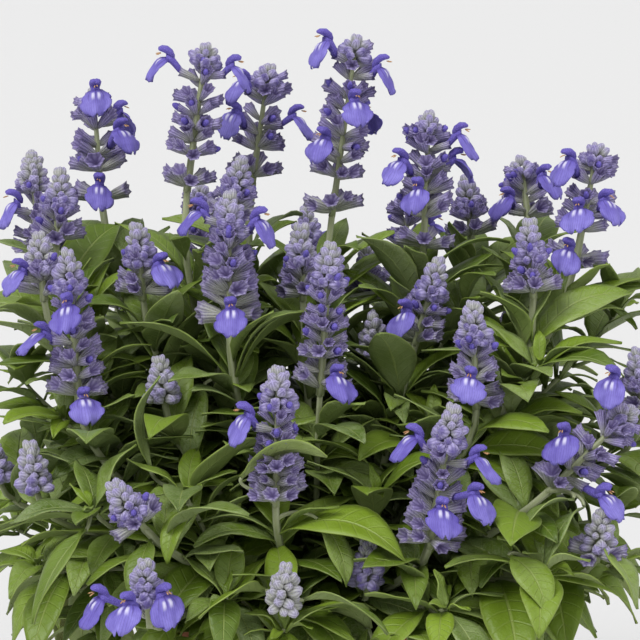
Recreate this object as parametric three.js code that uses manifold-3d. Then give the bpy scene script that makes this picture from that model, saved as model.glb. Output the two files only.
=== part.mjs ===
// Potted mealycup sage in flower. Millimetres, +Z up, origin at the middle of the pot's underside.
import * as THREE from 'three';
import { mergeVertices } from 'three/addons/utils/BufferGeometryUtils.js';
import Module from 'manifold-3d';

const wasm = await Module();
wasm.setup();

// Driving dimensions

const POT = {
  height: 120, topRadius: 70, baseRadius: 48, wall: 4.5, floor: 6, bandHeight: 24, bandProud: 2.5,
  drains: 3, drainRadius: 5, drainCircle: 27, sides: 24,
};
const SOIL = { top: 110, crown: 2, plateau: 54, gap: 0.4 };
const DOME = { radius: 152, top: 278, bottom: 60, rise: 130 };
const STEM = {
  width: 3, sideWidth: 2.6, shootWidth: 2.2, trunkSteps: 4, steps: 2, sunk: 14, spread: 0.36, seam: 0.3,
  startHandle: 0.42, endHandle: 0.3, rimHandle: 0.45, leastHandle: 3,
  lowFork: 10, lowReach: 40, forkRise: 0.3, highestFork: 0.9, forkStep: 0.02, forkLean: 0.6, shootLean: 0.7,
};
const LEAF = {
  seed: 26, shortest: 44, longest: 56, slim: 0.3, broad: 0.36, lowest: 1.12, tuft: 0.72,
  inner: 0.8, innerFacing: -0.3, ridge: 1.3, wave: 0.6, fewestWaves: 2, edgeShift: 1.3,
  stalkEnd: 0.06, stalkWidth: 0.1, sunk: 0.4,
  longRings: [0.17, 0.46, 0.78], shortRings: [0.28, 0.7], shortUnder: 44,
  lowPitch: 2, highPitch: 42, droop: 22, pitchJitter: 26, turnJitter: 0.5, parting: 0.8,
  leastArch: 0.06, mostArch: 0.15, roll: 0.7, spacing: 17, shootSpacing: 13,
  shootBare: 0.5, lowBare: 8, highBare: 22, bareFrom: 150, bareTo: 230, twoPairsOver: 250,
  threePairsUnder: 180, lastNode: 0.8,
  swings: [[0, 0], [0.35, 0], [-0.35, 0], [0, 0.3], [0, -0.3], [0.6, 0.2], [-0.6, 0.2], [0.8, -0.2],
    [-0.8, -0.2], [0.2, 0.6], [-0.2, 0.6]],
};
const SPIKE = {
  seed: 31, footWidth: 4, tipWidth: 2.4, firstWhorl: 2.5, whorlSpacing: 14, crowding: 0.9,
  cups: 4, topCups: 3, lowTilt: 18, highTilt: 50, jitter: 0.3, smallest: 0.92, largest: 1.08,
};
const CUP = { rootOut: 0.9, length: 11.5, topLength: 7.5, rim: 4.6, topRim: 3.4, mouthFloor: 0.8 };
const HEAD = {
  height: 15, budWidth: 13, width: 11, sides: 5, rows: 3, fullness: 0.8, knob: 0.25, knobRise: 1,
  overStalk: 9, overWhorl: 2, bareUnder: 19,
};
const BLOOM = {
  calyx: 8.5, mouth: 3, lipWidth: 15, lipDrop: 5, notch: 1.6, hood: 0.15, hoodRise: 5, leastReach: 4,
  rise: 0.3, lowest: 3, room: 0.75, roomHeight: 7,
};
const CLEAR = {
  leaf: 4.6, own: 5.4, stem: 3.6, spike: 12, head: 9.5, bloom: 10, rim: 4, step: 3.5,
  along: [0.14, 0.24, 0.36, 0.48, 0.6, 0.72, 0.84, 0.95], across: [-0.85, -0.3, 0.3, 0.85],
};

// Flower spikes: where each one starts, where its tip is, and the middle of each open bloom's lower lip

const SPIKES = {
  a: { base: [-95, 50, 281], tip: [-99, 60, 329],
    blooms: [[-97, 50, 328], [-84, 42, 312], [-86, 66, 318], [-95, 38, 288]] },
  b1: { base: [-119, 20, 262], tip: [-122, 25, 304], blooms: [[-131, 18, 283]] },
  b2: { base: [-109, -4, 270], tip: [-107, -2, 299], blooms: [] },
  c1: { base: [-111, -32, 251], tip: [-113, -30, 276], blooms: [[-122, -38, 262]] },
  c2: { base: [-96, -48, 213], tip: [-99, -52, 272],
    blooms: [[-99, -63, 251], [-112, -56, 240], [-92, -60, 214]] },
  d: { base: [-55, 0, 292], tip: [-47, 5, 350], blooms: [[-66, 2, 345], [-33, 2, 341]] },
  e: { base: [-29, 38, 292], tip: [-22, 40, 340], blooms: [[-35, 30, 334], [-38, 28, 320], [-8, 36, 318]] },
  f1: { base: [-36, -10, 281], tip: [-32, -12, 305], blooms: [] },
  f2: { base: [-36, -42, 243], tip: [-36, -44, 294],
    blooms: [[-35, -57, 249], [-50, -46, 287], [-22, -48, 283]] },
  g: { base: [-72, -22, 250], tip: [-74, -24, 279], blooms: [[-62, -34, 264]] },
  h: { base: [5, 8, 281], tip: [15, 10, 353],
    blooms: [[0, 2, 351], [27, 6, 340], [15, -5, 327], [0, -4, 312], [20, 20, 322]] },
  i: { base: [43, 0, 267], tip: [45, 5, 322],
    blooms: [[31, -8, 303], [39, -13, 292], [60, 0, 313], [59, 4, 303]] },
  j: { base: [66, 48, 266], tip: [64, 50, 291], blooms: [] },
  k: { base: [90, 40, 275], tip: [87, 45, 300], blooms: [[98, 34, 293], [78, 32, 284]] },
  l: { base: [106, 0, 261], tip: [115, 5, 309],
    blooms: [[100, -6, 303], [105, -14, 284], [119, -10, 287], [101, -13, 267]] },
  m: { base: [86, -30, 252], tip: [84, -28, 281], blooms: [] },
  n: { base: [-7, -12, 248], tip: [-8, -10, 277], blooms: [] },
  o: { base: [0, -50, 216], tip: [4, -55, 275], blooms: [[8, -66, 224]] },
  p: { base: [39, -20, 231], tip: [48, -18, 264], blooms: [[33, -32, 244]] },
  q: { base: [62, -52, 211], tip: [60, -55, 252], blooms: [[58, -68, 224]] },
  r: { base: [42, -85, 163], tip: [50, -98, 219],
    blooms: [[62, -99, 199], [60, -107, 186], [46, -112, 182], [33, -96, 207]] },
  s: { base: [-17, -84, 179], tip: [-16, -88, 232], blooms: [[-30, -92, 213]] },
  t: { base: [131, -30, 205], tip: [129, -30, 229], blooms: [] },
  u: { base: [89, -70, 181], tip: [121, -66, 212],
    blooms: [[93, -80, 203], [112, -74, 224], [112, -80, 180]] },
  v: { base: [107, -80, 156], tip: [109, -82, 175], blooms: [] },
  w: { base: [-112, -62, 180], tip: [-114, -62, 197], blooms: [] },
  x: { base: [-131, -34, 178], tip: [-134, -37, 194], blooms: [] },
  y: { base: [-67, -92, 172], tip: [-78, -96, 189], blooms: [] },
  z: { base: [-64, -107, 138], tip: [-66, -112, 163],
    blooms: [[-84, -117, 149], [-72, -126, 149], [-57, -120, 150]] },
  aa: { base: [18, -84, 148], tip: [18, -86, 164], blooms: [] },
  ac: { base: [-14, -110, 146], tip: [-13, -113, 161], blooms: [] },
  ad: { base: [-62, -48, 213], tip: [-64, -48, 229], blooms: [] },
  ae: { base: [23, -6, 225], tip: [22, -8, 240], blooms: [] },
  af: { base: [20, 33, 240], tip: [20, 36, 262], blooms: [] },
  ba: { base: [-92, 92, 222], tip: [-96, 98, 262], blooms: [[-104, 104, 244]] },
  bb: { base: [-52, 84, 240], tip: [-54, 90, 284], blooms: [[-52, 104, 268], [-68, 90, 256]] },
  bc: { base: [-8, 96, 232], tip: [-6, 104, 272], blooms: [[4, 116, 254]] },
  bd: { base: [38, 82, 240], tip: [40, 88, 282], blooms: [[54, 92, 266], [36, 102, 254]] },
  be: { base: [90, 86, 216], tip: [94, 92, 256], blooms: [[98, 106, 240]] },
};

// Leafy stems: each forks low down into the stalks of its spikes and into shoots that end in a leaf tuft

const STEMS = {
  1: { spikes: ['a', 'ba'], shoots: [[-98, 84, 186], [-126, 42, 176], [-84, 66, 140]] },
  2: { spikes: ['b2', 'b1'], shoots: [[-126, 2, 214], [-128, -6, 150]] },
  3: { spikes: ['c1', 'x'], shoots: [[-104, -36, 204]] },
  4: { spikes: ['c2', 'w'], shoots: [[-88, -78, 176], [-112, -64, 150]] },
  5: { spikes: ['y', 'z'], shoots: [[-52, -74, 180], [-36, -96, 146]] },
  6: { spikes: ['d', 'g', 'f1'], shoots: [[-84, 8, 246]] },
  7: { spikes: ['f2', 'ad'], shoots: [] },
  8: { spikes: ['s', 'ac'], shoots: [[-14, -100, 134]] },
  9: { spikes: ['n', 'o'], shoots: [[-20, -40, 200]] },
  10: { spikes: ['r', 'aa'], shoots: [[22, -62, 178], [48, -98, 142]] },
  11: { spikes: ['p', 'q'], shoots: [[46, -30, 200]] },
  12: { spikes: ['u', 'v'], shoots: [[86, -88, 154], [116, -56, 148]] },
  13: { spikes: ['m', 't'], shoots: [[88, -40, 226], [122, -22, 190]] },
  14: { spikes: ['l', 'k'], shoots: [[126, 12, 240], [122, 42, 190], [128, 4, 156]] },
  15: { spikes: ['i', 'ae'], shoots: [[60, 0, 244]] },
  16: { spikes: ['h', 'af'], shoots: [[-14, 22, 244]] },
  17: { spikes: ['j', 'bd', 'be'], shoots: [[96, 78, 160], [56, 108, 170], [66, 60, 226], [72, 72, 136]] },
  18: { spikes: ['e', 'bb'], shoots: [[-50, 106, 172], [-66, 62, 232], [-46, 88, 138]] },
  19: { spikes: ['bc'], shoots: [[6, 120, 162], [-20, 84, 220], [22, 92, 136]] },
};

// Finishes

const FINISH = {
  pot: { color: 0xa9664a, roughness: 0.85, metalness: 0 },
  soil: { color: 0x3a2a20, roughness: 0.98, metalness: 0 },
  stem: { color: 0x5c7d3e, roughness: 0.62, metalness: 0 },
  spike: { color: 0x7d76b8, roughness: 0.9, metalness: 0 },
};

// Small helpers

const radians = THREE.MathUtils.degToRad;
const lerp = THREE.MathUtils.lerp;
const clamp01 = (value) => THREE.MathUtils.clamp(value, 0, 1);
const point = (list) => new THREE.Vector3(...list);
const UP = new THREE.Vector3(0, 0, 1);

// Seeded draws between 0 and 1, the same on every run
function drawsFrom(seed) {
  let state = seed >>> 0;
  return () => {
    state = (Math.imul(state, 1664525) + 1013904223) >>> 0;
    return state / 4294967296;
  };
}

// A closed solid from a geometry whose shared corners are merged
function solid(geometry) {
  const bare = geometry.clone();
  bare.deleteAttribute('normal');
  bare.deleteAttribute('uv');
  const merged = mergeVertices(bare);
  return new wasm.Manifold(new wasm.Mesh({
    numProp: 3,
    vertProperties: new Float32Array(merged.attributes.position.array),
    triVerts: new Uint32Array(merged.index.array),
  }));
}

// Joins solids and keeps the one body they make, without loose scraps or sealed hollows
function fuse(solids) {
  const bodies = wasm.Manifold.union(solids).decompose();
  return bodies.reduce((largest, body) => (body.volume() > largest.volume() ? body : largest));
}

function piece(name, body, finish) {
  const { vertProperties, triVerts } = body.getMesh();
  const geometry = new THREE.BufferGeometry();
  geometry.setAttribute('position', new THREE.BufferAttribute(new Float32Array(vertProperties), 3));
  geometry.setIndex(new THREE.BufferAttribute(new Uint32Array(triVerts), 1));
  geometry.computeVertexNormals();
  const mesh = new THREE.Mesh(geometry, new THREE.MeshStandardMaterial(finish));
  mesh.name = name;
  return mesh;
}

// Turned profile about Z, given as radius and height
function turned(profile) {
  const outline = profile.map(([radius, height]) => new THREE.Vector2(radius, height));
  return new THREE.LatheGeometry(outline, POT.sides).rotateX(Math.PI / 2);
}

// Square bar along a curve
function bar(curve, width, steps) {
  const half = width / 2;
  const section = new THREE.Shape([
    new THREE.Vector2(-half, -half), new THREE.Vector2(half, -half),
    new THREE.Vector2(half, half), new THREE.Vector2(-half, half),
  ]);
  return new THREE.ExtrudeGeometry(section, { steps, extrudePath: curve, bevelEnabled: false });
}

// Moves the corners of a ball: place is called with the row, from pole to pole, and the corner in that row
function shapedBall(sides, rows, place) {
  const ball = new THREE.SphereGeometry(1, sides, rows);
  const corners = ball.attributes.position;
  for (let n = 0; n < corners.count; n++) {
    const row = Math.floor(n / (sides + 1));
    const spot = place(row, (n % (sides + 1)) % sides);
    corners.setXYZ(n, spot.x, spot.y, spot.z);
  }
  const body = solid(ball);
  return body.volume() > 0 ? body : solid(insideOut(ball));
}

function insideOut(geometry) {
  const index = geometry.index.array;
  for (let n = 0; n < index.length; n += 3) [index[n], index[n + 1]] = [index[n + 1], index[n]];
  return geometry;
}

// Pot and soil

function potRadius(height) {
  return lerp(POT.baseRadius, POT.topRadius - POT.bandProud, height / POT.height);
}

function makePot() {
  const bandFoot = POT.height - POT.bandHeight;
  const body = solid(turned([
    [0, 0], [POT.baseRadius, 0], [potRadius(bandFoot), bandFoot],
    [potRadius(bandFoot) + POT.bandProud, bandFoot], [POT.topRadius, POT.height],
    [potRadius(POT.height) - POT.wall, POT.height],
    [potRadius(POT.floor) - POT.wall, POT.floor], [0, POT.floor],
  ]));
  const drains = [];
  for (let hole = 0; hole < POT.drains; hole++) {
    const angle = (hole / POT.drains) * 2 * Math.PI;
    const drain = new THREE.CylinderGeometry(POT.drainRadius, POT.drainRadius, POT.floor * 4, 8);
    drain.rotateX(Math.PI / 2);
    drain.translate(POT.drainCircle * Math.cos(angle), POT.drainCircle * Math.sin(angle), 0);
    drains.push(solid(drain));
  }
  return body.subtract(wasm.Manifold.union(drains));
}

// Fills the pot, with a plain hole round the foot of each stem
function makeSoil(stems) {
  const foot = POT.floor + SOIL.gap;
  const inside = (height) => potRadius(height) - POT.wall - SOIL.gap;
  const body = solid(turned([
    [0, foot], [inside(foot), foot], [inside(SOIL.top), SOIL.top],
    [SOIL.plateau, SOIL.top + SOIL.crown], [0, SOIL.top + SOIL.crown],
  ]));
  const holes = stems.map(({ branches: [trunk] }) => {
    const hole = bar(trunk.path, trunk.width + 2 * SOIL.gap, trunk.steps);
    return solid(hole.translate(0, 0, -SOIL.gap));
  });
  return body.subtract(wasm.Manifold.union(holes));
}

// Leaves: one thin solid of three faces, two above that meet on the midrib and one below, with waved edges.
// It starts as a three-sided ball whose poles become root and tip, and whose corners become
// left edge, midrib and right edge.

function leafFrame(leaf) {
  const chord = leaf.tip.clone().sub(leaf.root);
  const length = chord.length();
  const along = chord.normalize();
  const sideways = new THREE.Vector3(-along.y, along.x, 0).normalize();
  return { length, along, sideways, lift: new THREE.Vector3().crossVectors(along, sideways) };
}

// Lance-shaped outline: share of the full width at s, with a narrow stalk near the root
function lanceWidth(s) {
  const grown = clamp01((s - LEAF.stalkEnd) / (1 - LEAF.stalkEnd)) ** 0.8;
  return Math.max(s < 0.5 ? LEAF.stalkWidth : 0, Math.sin(Math.PI * grown) ** 1.1);
}

// A point of a leaf: s runs from root to tip, u from the left edge (-1) to the right one (1)
function leafPoint(leaf, frame, s, u, raise) {
  const slope = (4 * leaf.arch * (1 - 2 * s)) / frame.length;
  const tangent = frame.along.clone().addScaledVector(frame.lift, slope).normalize();
  const normal = new THREE.Vector3().crossVectors(tangent, frame.sideways);
  const [turn, tilt] = [Math.cos(leaf.roll), Math.sin(leaf.roll)];
  const across = frame.sideways.clone().multiplyScalar(turn).addScaledVector(normal, tilt);
  const out = normal.multiplyScalar(turn).addScaledVector(frame.sideways, -tilt);
  const wave = LEAF.wave * Math.sin(leaf.waves * Math.PI * s + leaf.phase + (u > 0 ? LEAF.edgeShift : 0));
  return leaf.root.clone()
    .addScaledVector(frame.along, frame.length * s)
    .addScaledVector(frame.lift, 4 * leaf.arch * s * (1 - s))
    .addScaledVector(across, u * (leaf.width / 2) * lanceWidth(s))
    .addScaledVector(out, Math.abs(u) * wave + raise);
}

function leafSolid(leaf) {
  const rings = leaf.length < LEAF.shortUnder ? LEAF.shortRings : LEAF.longRings;
  const frame = leafFrame(leaf);
  return shapedBall(3, rings.length + 1, (row, corner) => {
    if (row === 0) return leaf.root.clone();
    if (row > rings.length) return leafPoint(leaf, frame, 1, 0, 0);
    return leafPoint(leaf, frame, rings[row - 1], corner - 1, corner === 1 ? LEAF.ridge : 0);
  });
}

// Flower spikes: a stalk with whorls of cups, a head of woolly buds at the tip and two-lipped blooms

function spikeAxis(spike) {
  const base = point(spike.base);
  const axis = point(spike.tip).sub(base);
  const length = axis.length();
  const along = axis.normalize();
  const side = new THREE.Vector3().crossVectors(along, new THREE.Vector3(0, 1, 0)).normalize();
  return { base, length, along, side, front: new THREE.Vector3().crossVectors(along, side) };
}

const onAxis = (axis, height) => axis.base.clone().addScaledVector(axis.along, height);

// A spot round the axis: angle goes round it, off is the distance from it
function roundAxis(axis, height, off, angle) {
  return onAxis(axis, height)
    .addScaledVector(axis.side, off * Math.cos(angle)).addScaledVector(axis.front, off * Math.sin(angle));
}

// Sideways and upward directions of something that points along direction
function crossFrame(direction) {
  const sideways = new THREE.Vector3().crossVectors(direction, UP).normalize();
  return { sideways, over: new THREE.Vector3().crossVectors(sideways, direction) };
}

// A spot on a ring round a direction
function ringSpot(centre, direction, radius, angle) {
  const { sideways, over } = crossFrame(direction);
  return centre.clone()
    .addScaledVector(sideways, radius * Math.cos(angle)).addScaledVector(over, radius * Math.sin(angle));
}

// Three-cornered calyx cup, widest at its rim, with its end sunk into the mouth
function cupSolid(root, direction, length, rim, twist) {
  return shapedBall(3, 2, (row, corner) => {
    if (row === 0) return root.clone();
    if (row === 2) return root.clone().addScaledVector(direction, length * CUP.mouthFloor);
    const centre = root.clone().addScaledVector(direction, length);
    return ringSpot(centre, direction, rim, (corner / 3) * 2 * Math.PI + twist);
  });
}

// Where a bloom sits: its height on the stalk and its direction, from the middle of its lower lip
function bloomSeat(middle, axis) {
  const toLip = middle.clone().sub(axis.base);
  const lipHeight = toLip.dot(axis.along);
  const off = toLip.addScaledVector(axis.along, -lipHeight).length();
  const highest = axis.length - BLOOM.lowest;
  const height = THREE.MathUtils.clamp(lipHeight - off * BLOOM.rise, BLOOM.lowest, highest);
  return { height, direction: middle.clone().sub(onAxis(axis, height)).normalize() };
}

// Bloom: calyx, then a broad notched lower lip and a small hood round one hollow mouth
function bloomSolid(middle, axis) {
  const { height, direction } = bloomSeat(middle, axis);
  const { sideways } = crossFrame(direction);
  const root = onAxis(axis, height).addScaledVector(direction, CUP.rootOut);
  const mouth = root.clone().addScaledVector(direction, BLOOM.calyx);
  const reach = Math.max(middle.distanceTo(mouth), BLOOM.leastReach);
  const lobes = [
    { wide: 0, rise: -BLOOM.lipDrop, back: BLOOM.notch }, { wide: 0.5, rise: -BLOOM.lipDrop, back: 0 },
    { wide: BLOOM.hood, rise: BLOOM.hoodRise, back: 0 }, { wide: -BLOOM.hood, rise: BLOOM.hoodRise, back: 0 },
    { wide: -0.5, rise: -BLOOM.lipDrop, back: 0 },
  ];
  return shapedBall(5, 3, (row, corner) => {
    if (row === 0) return root.clone();
    if (row === 3) return mouth.clone();
    const angle = (corner / 5) * 2 * Math.PI - Math.PI / 2;
    if (row === 1) return ringSpot(mouth, direction, BLOOM.mouth, angle);
    const { wide, rise, back } = lobes[corner];
    return mouth.clone().addScaledVector(direction, reach - back)
      .addScaledVector(sideways, wide * BLOOM.lipWidth).addScaledVector(UP, rise);
  });
}

// Three-sided stalk inside the whorls
function stalkSolid(axis, turn) {
  const length = axis.length - HEAD.overStalk;
  const stalk = new THREE.CylinderGeometry(SPIKE.tipWidth / 2, SPIKE.footWidth / 2, length, 3);
  stalk.rotateX(Math.PI / 2).rotateZ(turn).translate(0, 0, length / 2 + STEM.seam);
  const frame = new THREE.Matrix4().makeBasis(axis.side, axis.front, axis.along).setPosition(axis.base);
  return solid(stalk.applyMatrix4(frame));
}

// Knobbly head of woolly buds, widest below its middle
function headSolid(axis, from, width, turn) {
  return shapedBall(HEAD.sides, HEAD.rows, (row, corner) => {
    const share = row / HEAD.rows;
    const height = lerp(from, axis.length, share);
    if (row === 0 || row === HEAD.rows) return onAxis(axis, height);
    const isKnob = (row + corner) % 2 === 0;
    const knob = isKnob ? HEAD.knob : -HEAD.knob;
    const radius = (width / 2) * Math.sin(Math.PI * share ** HEAD.fullness) * (1 + knob);
    const angle = turn + (corner / HEAD.sides) * 2 * Math.PI;
    return roundAxis(axis, height + (isKnob ? HEAD.knobRise : 0), radius, angle);
  });
}

// The cups of one spike, whorl by whorl, without those whose place an open bloom takes
function layOutCups(spike, axis, turn, draw) {
  const seats = spike.blooms.map((middle) => bloomSeat(point(middle), axis));
  const headFoot = axis.length - HEAD.height;
  const whorls = Math.max(1, Math.round(headFoot / SPIKE.whorlSpacing) + 1);
  const cups = [];
  for (let whorl = 0; whorl < whorls; whorl++) {
    const share = whorl / whorls;
    const height = lerp(SPIKE.firstWhorl, headFoot + HEAD.overWhorl, share ** SPIKE.crowding);
    const count = whorl === whorls - 1 ? SPIKE.topCups : SPIKE.cups;
    for (let n = 0; n < count; n++) {
      const angle = turn + ((n + (whorl % 2) / 2) / count) * 2 * Math.PI + (draw() - 0.5) * SPIKE.jitter;
      const tilt = radians(lerp(SPIKE.lowTilt, SPIKE.highTilt, share)) + (draw() - 0.5) * SPIKE.jitter;
      const size = lerp(SPIKE.smallest, SPIKE.largest, draw());
      const direction = roundAxis(axis, height, Math.cos(tilt), angle).sub(onAxis(axis, height))
        .addScaledVector(axis.along, Math.sin(tilt));
      const isTaken = seats.some((seat) => (
        seat.direction.dot(direction) > BLOOM.room && Math.abs(seat.height - height) < BLOOM.roomHeight));
      if (isTaken) continue;
      cups.push({
        root: onAxis(axis, height).addScaledVector(direction, CUP.rootOut), direction,
        length: lerp(CUP.length, CUP.topLength, share) * size, rim: lerp(CUP.rim, CUP.topRim, share) * size,
        twist: n,
      });
    }
  }
  return cups;
}

function spikeSolid(spike, draw) {
  const axis = spikeAxis(spike);
  const turn = draw() * Math.PI;
  if (axis.length < HEAD.bareUnder) return headSolid(axis, STEM.seam, HEAD.budWidth, turn);
  const head = headSolid(axis, axis.length - HEAD.height, HEAD.width, turn);
  const cups = layOutCups(spike, axis, turn, draw).map(({ root, direction, length, rim, twist }) => (
    cupSolid(root, direction, length, rim, twist)));
  const blooms = spike.blooms.map((middle) => bloomSolid(point(middle), axis));
  return fuse([stalkSolid(axis, turn), head, ...cups, ...blooms]);
}

// Stems: straight runs between evenly spaced points of a curve, from the soil to each spike or leaf tuft

function branchPath(start, startDirection, end, endDirection) {
  const distance = start.distanceTo(end);
  const overRim = Math.max((end.z - POT.height) * STEM.rimHandle, STEM.leastHandle);
  return new THREE.CubicBezierCurve3(
    start,
    start.clone().addScaledVector(startDirection, distance * STEM.startHandle),
    end.clone().addScaledVector(endDirection, -Math.min(distance * STEM.endHandle, overRim)),
    end,
  );
}

function makeBranch(path, width, steps, spike) {
  return { path, width, steps, spike, points: path.getSpacedPoints(steps), end: path.v3 };
}

// A place on the runs, from the foot (0) to the end (1), and the direction of the run it lies on
function onRuns(points, share) {
  const runs = points.length - 1;
  const run = Math.min(Math.floor(share * runs), runs - 1);
  const direction = points[run + 1].clone().sub(points[run]).normalize();
  return { spot: points[run].clone().lerp(points[run + 1], share * runs - run), direction };
}

function runLength(points) {
  let length = 0;
  for (let n = 1; n < points.length; n++) length += points[n].distanceTo(points[n - 1]);
  return length;
}

// Where a side branch that ends at a height leaves the trunk
function forkSpot(trunk, endHeight) {
  const overReach = Math.max(0, endHeight - SOIL.top - STEM.lowReach);
  const height = SOIL.top + STEM.lowFork + STEM.forkRise * overReach;
  let share = 0;
  while (share < STEM.highestFork && onRuns(trunk.points, share).spot.z < height) share += STEM.forkStep;
  return onRuns(trunk.points, share).spot;
}

function outAndUp(from, to, lean) {
  return to.clone().sub(from).setZ(0).normalize().multiplyScalar(lean).add(UP).normalize();
}

function layOutStem(number, { spikes, shoots }) {
  const middle = new THREE.Vector3();
  for (const name of spikes) middle.addScaledVector(point(SPIKES[name].base), 1 / spikes.length);
  const root = new THREE.Vector3(middle.x * STEM.spread, middle.y * STEM.spread, SOIL.top - STEM.sunk);
  const first = spikeAxis(SPIKES[spikes[0]]);
  const trunkPath = branchPath(root, UP, first.base, first.along);
  const trunk = makeBranch(trunkPath, STEM.width, STEM.trunkSteps, spikes[0]);
  const branches = [trunk];
  for (const name of spikes.slice(1)) {
    const axis = spikeAxis(SPIKES[name]);
    const fork = forkSpot(trunk, axis.base.z);
    const path = branchPath(fork, outAndUp(fork, axis.base, STEM.forkLean), axis.base, axis.along);
    branches.push(makeBranch(path, STEM.sideWidth, STEM.steps, name));
  }
  for (const place of shoots) {
    const end = point(place);
    const fork = forkSpot(trunk, end.z);
    const arrival = outAndUp(fork, end, STEM.shootLean);
    const path = branchPath(fork, outAndUp(fork, end, STEM.forkLean), end, arrival);
    branches.push(makeBranch(path, STEM.shootWidth, STEM.steps, null));
  }
  return { name: `leafy_stem_${String(number).padStart(2, '0')}`, branches };
}

// Leaves stand in opposite pairs, each pair a quarter turn on from the last. A leaf that would meet
// something is swung a little aside, and is left out where no swing is clear.

function leafSamples(leaf) {
  const frame = leafFrame(leaf);
  const samples = [];
  for (const s of CLEAR.along) {
    for (const u of CLEAR.across) samples.push(leafPoint(leaf, frame, s, u, 0));
  }
  return samples;
}

function isOutside(spot) {
  const fromMiddle = Math.hypot(spot.x, spot.y);
  const isOverPot = fromMiddle < POT.topRadius + CLEAR.rim && spot.z < POT.height + CLEAR.rim;
  return isOverPot || fromMiddle > DOME.radius || spot.z > DOME.top || spot.z < DOME.bottom;
}

function isClear(samples, owner, taken) {
  return samples.every((spot) => !isOutside(spot) && taken.every((other) => {
    const needed = other.owner === owner ? other.own : other.clear;
    return spot.distanceToSquared(other.at) >= needed * needed;
  }));
}

// What leaves have to keep clear of: the stems of other nodes, and every spike and bloom
function stemsAndSpikes(stems) {
  const taken = [];
  for (const stem of stems) {
    for (const { points, spike } of stem.branches) {
      const steps = Math.ceil(runLength(points) / CLEAR.step);
      for (let n = 0; n <= steps; n++) {
        taken.push({ at: onRuns(points, n / steps).spot, owner: stem.name, own: 0, clear: CLEAR.stem });
      }
      if (!spike) continue;
      const axis = spikeAxis(SPIKES[spike]);
      for (let height = SPIKE.firstWhorl; height < axis.length; height += CLEAR.step) {
        const clear = lerp(CLEAR.spike, CLEAR.head, height / axis.length);
        taken.push({ at: onAxis(axis, height), owner: spike, own: 0, clear });
      }
      for (const bloom of SPIKES[spike].blooms) {
        taken.push({ at: point(bloom), owner: spike, own: 0, clear: CLEAR.bloom });
      }
    }
  }
  return taken;
}

// The size and stance that a leaf would have at a place on its stem
function leafPlan(branch, node, pair, azimuth, draw) {
  const { spot, direction } = node;
  const facing = Math.cos(azimuth - Math.atan2(spot.y, spot.x));
  const high = clamp01((spot.z - POT.height) / DOME.rise);
  const far = clamp01(Math.hypot(spot.x, spot.y) / DOME.radius);
  const share = (branch.spike || pair > 0 ? 1 : LEAF.tuft) * (facing < LEAF.innerFacing ? LEAF.inner : 1);
  const length = lerp(LEAF.shortest, LEAF.longest, draw.size) * share * lerp(LEAF.lowest, 1, high);
  return {
    length, width: length * lerp(LEAF.slim, LEAF.broad, draw.size),
    pitch: radians(lerp(LEAF.lowPitch, LEAF.highPitch, high) - LEAF.droop * facing * far
      + (draw.pitch - 0.5) * LEAF.pitchJitter),
    stem: direction, spot, rootOut: branch.width / 2 - LEAF.sunk,
  };
}

function leafOn(plan, azimuth, lift, draw) {
  const flat = new THREE.Vector3(Math.cos(azimuth), Math.sin(azimuth), 0);
  const steepest = Math.atan2(plan.stem.z, plan.stem.dot(flat)) - LEAF.parting;
  const pitch = Math.min(plan.pitch + lift, steepest);
  const root = plan.spot.clone().addScaledVector(flat, plan.rootOut);
  const reach = flat.multiplyScalar(Math.cos(pitch)).addScaledVector(UP, Math.sin(pitch));
  return {
    root, tip: root.clone().addScaledVector(reach, plan.length), length: plan.length, width: plan.width,
    arch: plan.length * lerp(LEAF.leastArch, LEAF.mostArch, draw.arch), roll: (draw.roll - 0.5) * LEAF.roll,
    waves: LEAF.fewestWaves + draw.waves, phase: draw.phase * 2 * Math.PI,
  };
}

// How far below a branch end the first pair of leaves stands, how far apart the pairs are, and their number
function leafNodes({ spike, end }) {
  if (!spike) {
    const pairs = end.z < LEAF.threePairsUnder ? 3 : 2;
    return { bare: LEAF.shootBare, spacing: LEAF.shootSpacing, pairs };
  }
  const high = clamp01((end.z - LEAF.bareFrom) / (LEAF.bareTo - LEAF.bareFrom));
  const pairs = end.z > LEAF.twoPairsOver ? 2 : 1;
  return { bare: lerp(LEAF.lowBare, LEAF.highBare, high), spacing: LEAF.spacing, pairs };
}

function placeLeaves(stems) {
  const taken = stemsAndSpikes(stems);
  const leaves = [];
  const random = drawsFrom(LEAF.seed);
  for (const stem of stems) {
    for (const branch of stem.branches) {
      const total = runLength(branch.points);
      const { bare, spacing, pairs } = leafNodes(branch);
      let quarter = random() * Math.PI;
      for (let pair = 0; pair < pairs; pair++) {
        const down = bare + pair * spacing;
        if (down > total * LEAF.lastNode) break;
        const node = onRuns(branch.points, 1 - down / total);
        quarter += Math.PI / 2;
        for (let half = 0; half < 2; half++) {
          const draw = {
            arch: random(), roll: random(), waves: random(), phase: random(), size: random(),
            pitch: random(),
          };
          const azimuth = quarter + half * Math.PI + (random() - 0.5) * LEAF.turnJitter;
          const plan = leafPlan(branch, node, pair, azimuth, draw);
          for (const [swing, lift] of LEAF.swings) {
            const leaf = leafOn(plan, azimuth + swing, lift, draw);
            const samples = leafSamples(leaf);
            if (!isClear(samples, stem.name, taken)) continue;
            taken.push(...samples.map((at) => (
              { at, owner: stem.name, own: CLEAR.own, clear: CLEAR.leaf })));
            leaves.push({ owner: stem.name, leaf });
            break;
          }
        }
      }
    }
  }
  return leaves;
}

function stemSolid(stem, leaves) {
  const bars = stem.branches.map(({ path, width, steps }) => solid(bar(path, width, steps)));
  const blades = leaves.filter(({ owner }) => owner === stem.name).map(({ leaf }) => leafSolid(leaf));
  return fuse([...bars, ...blades]);
}

// The whole plant in its pot

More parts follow.
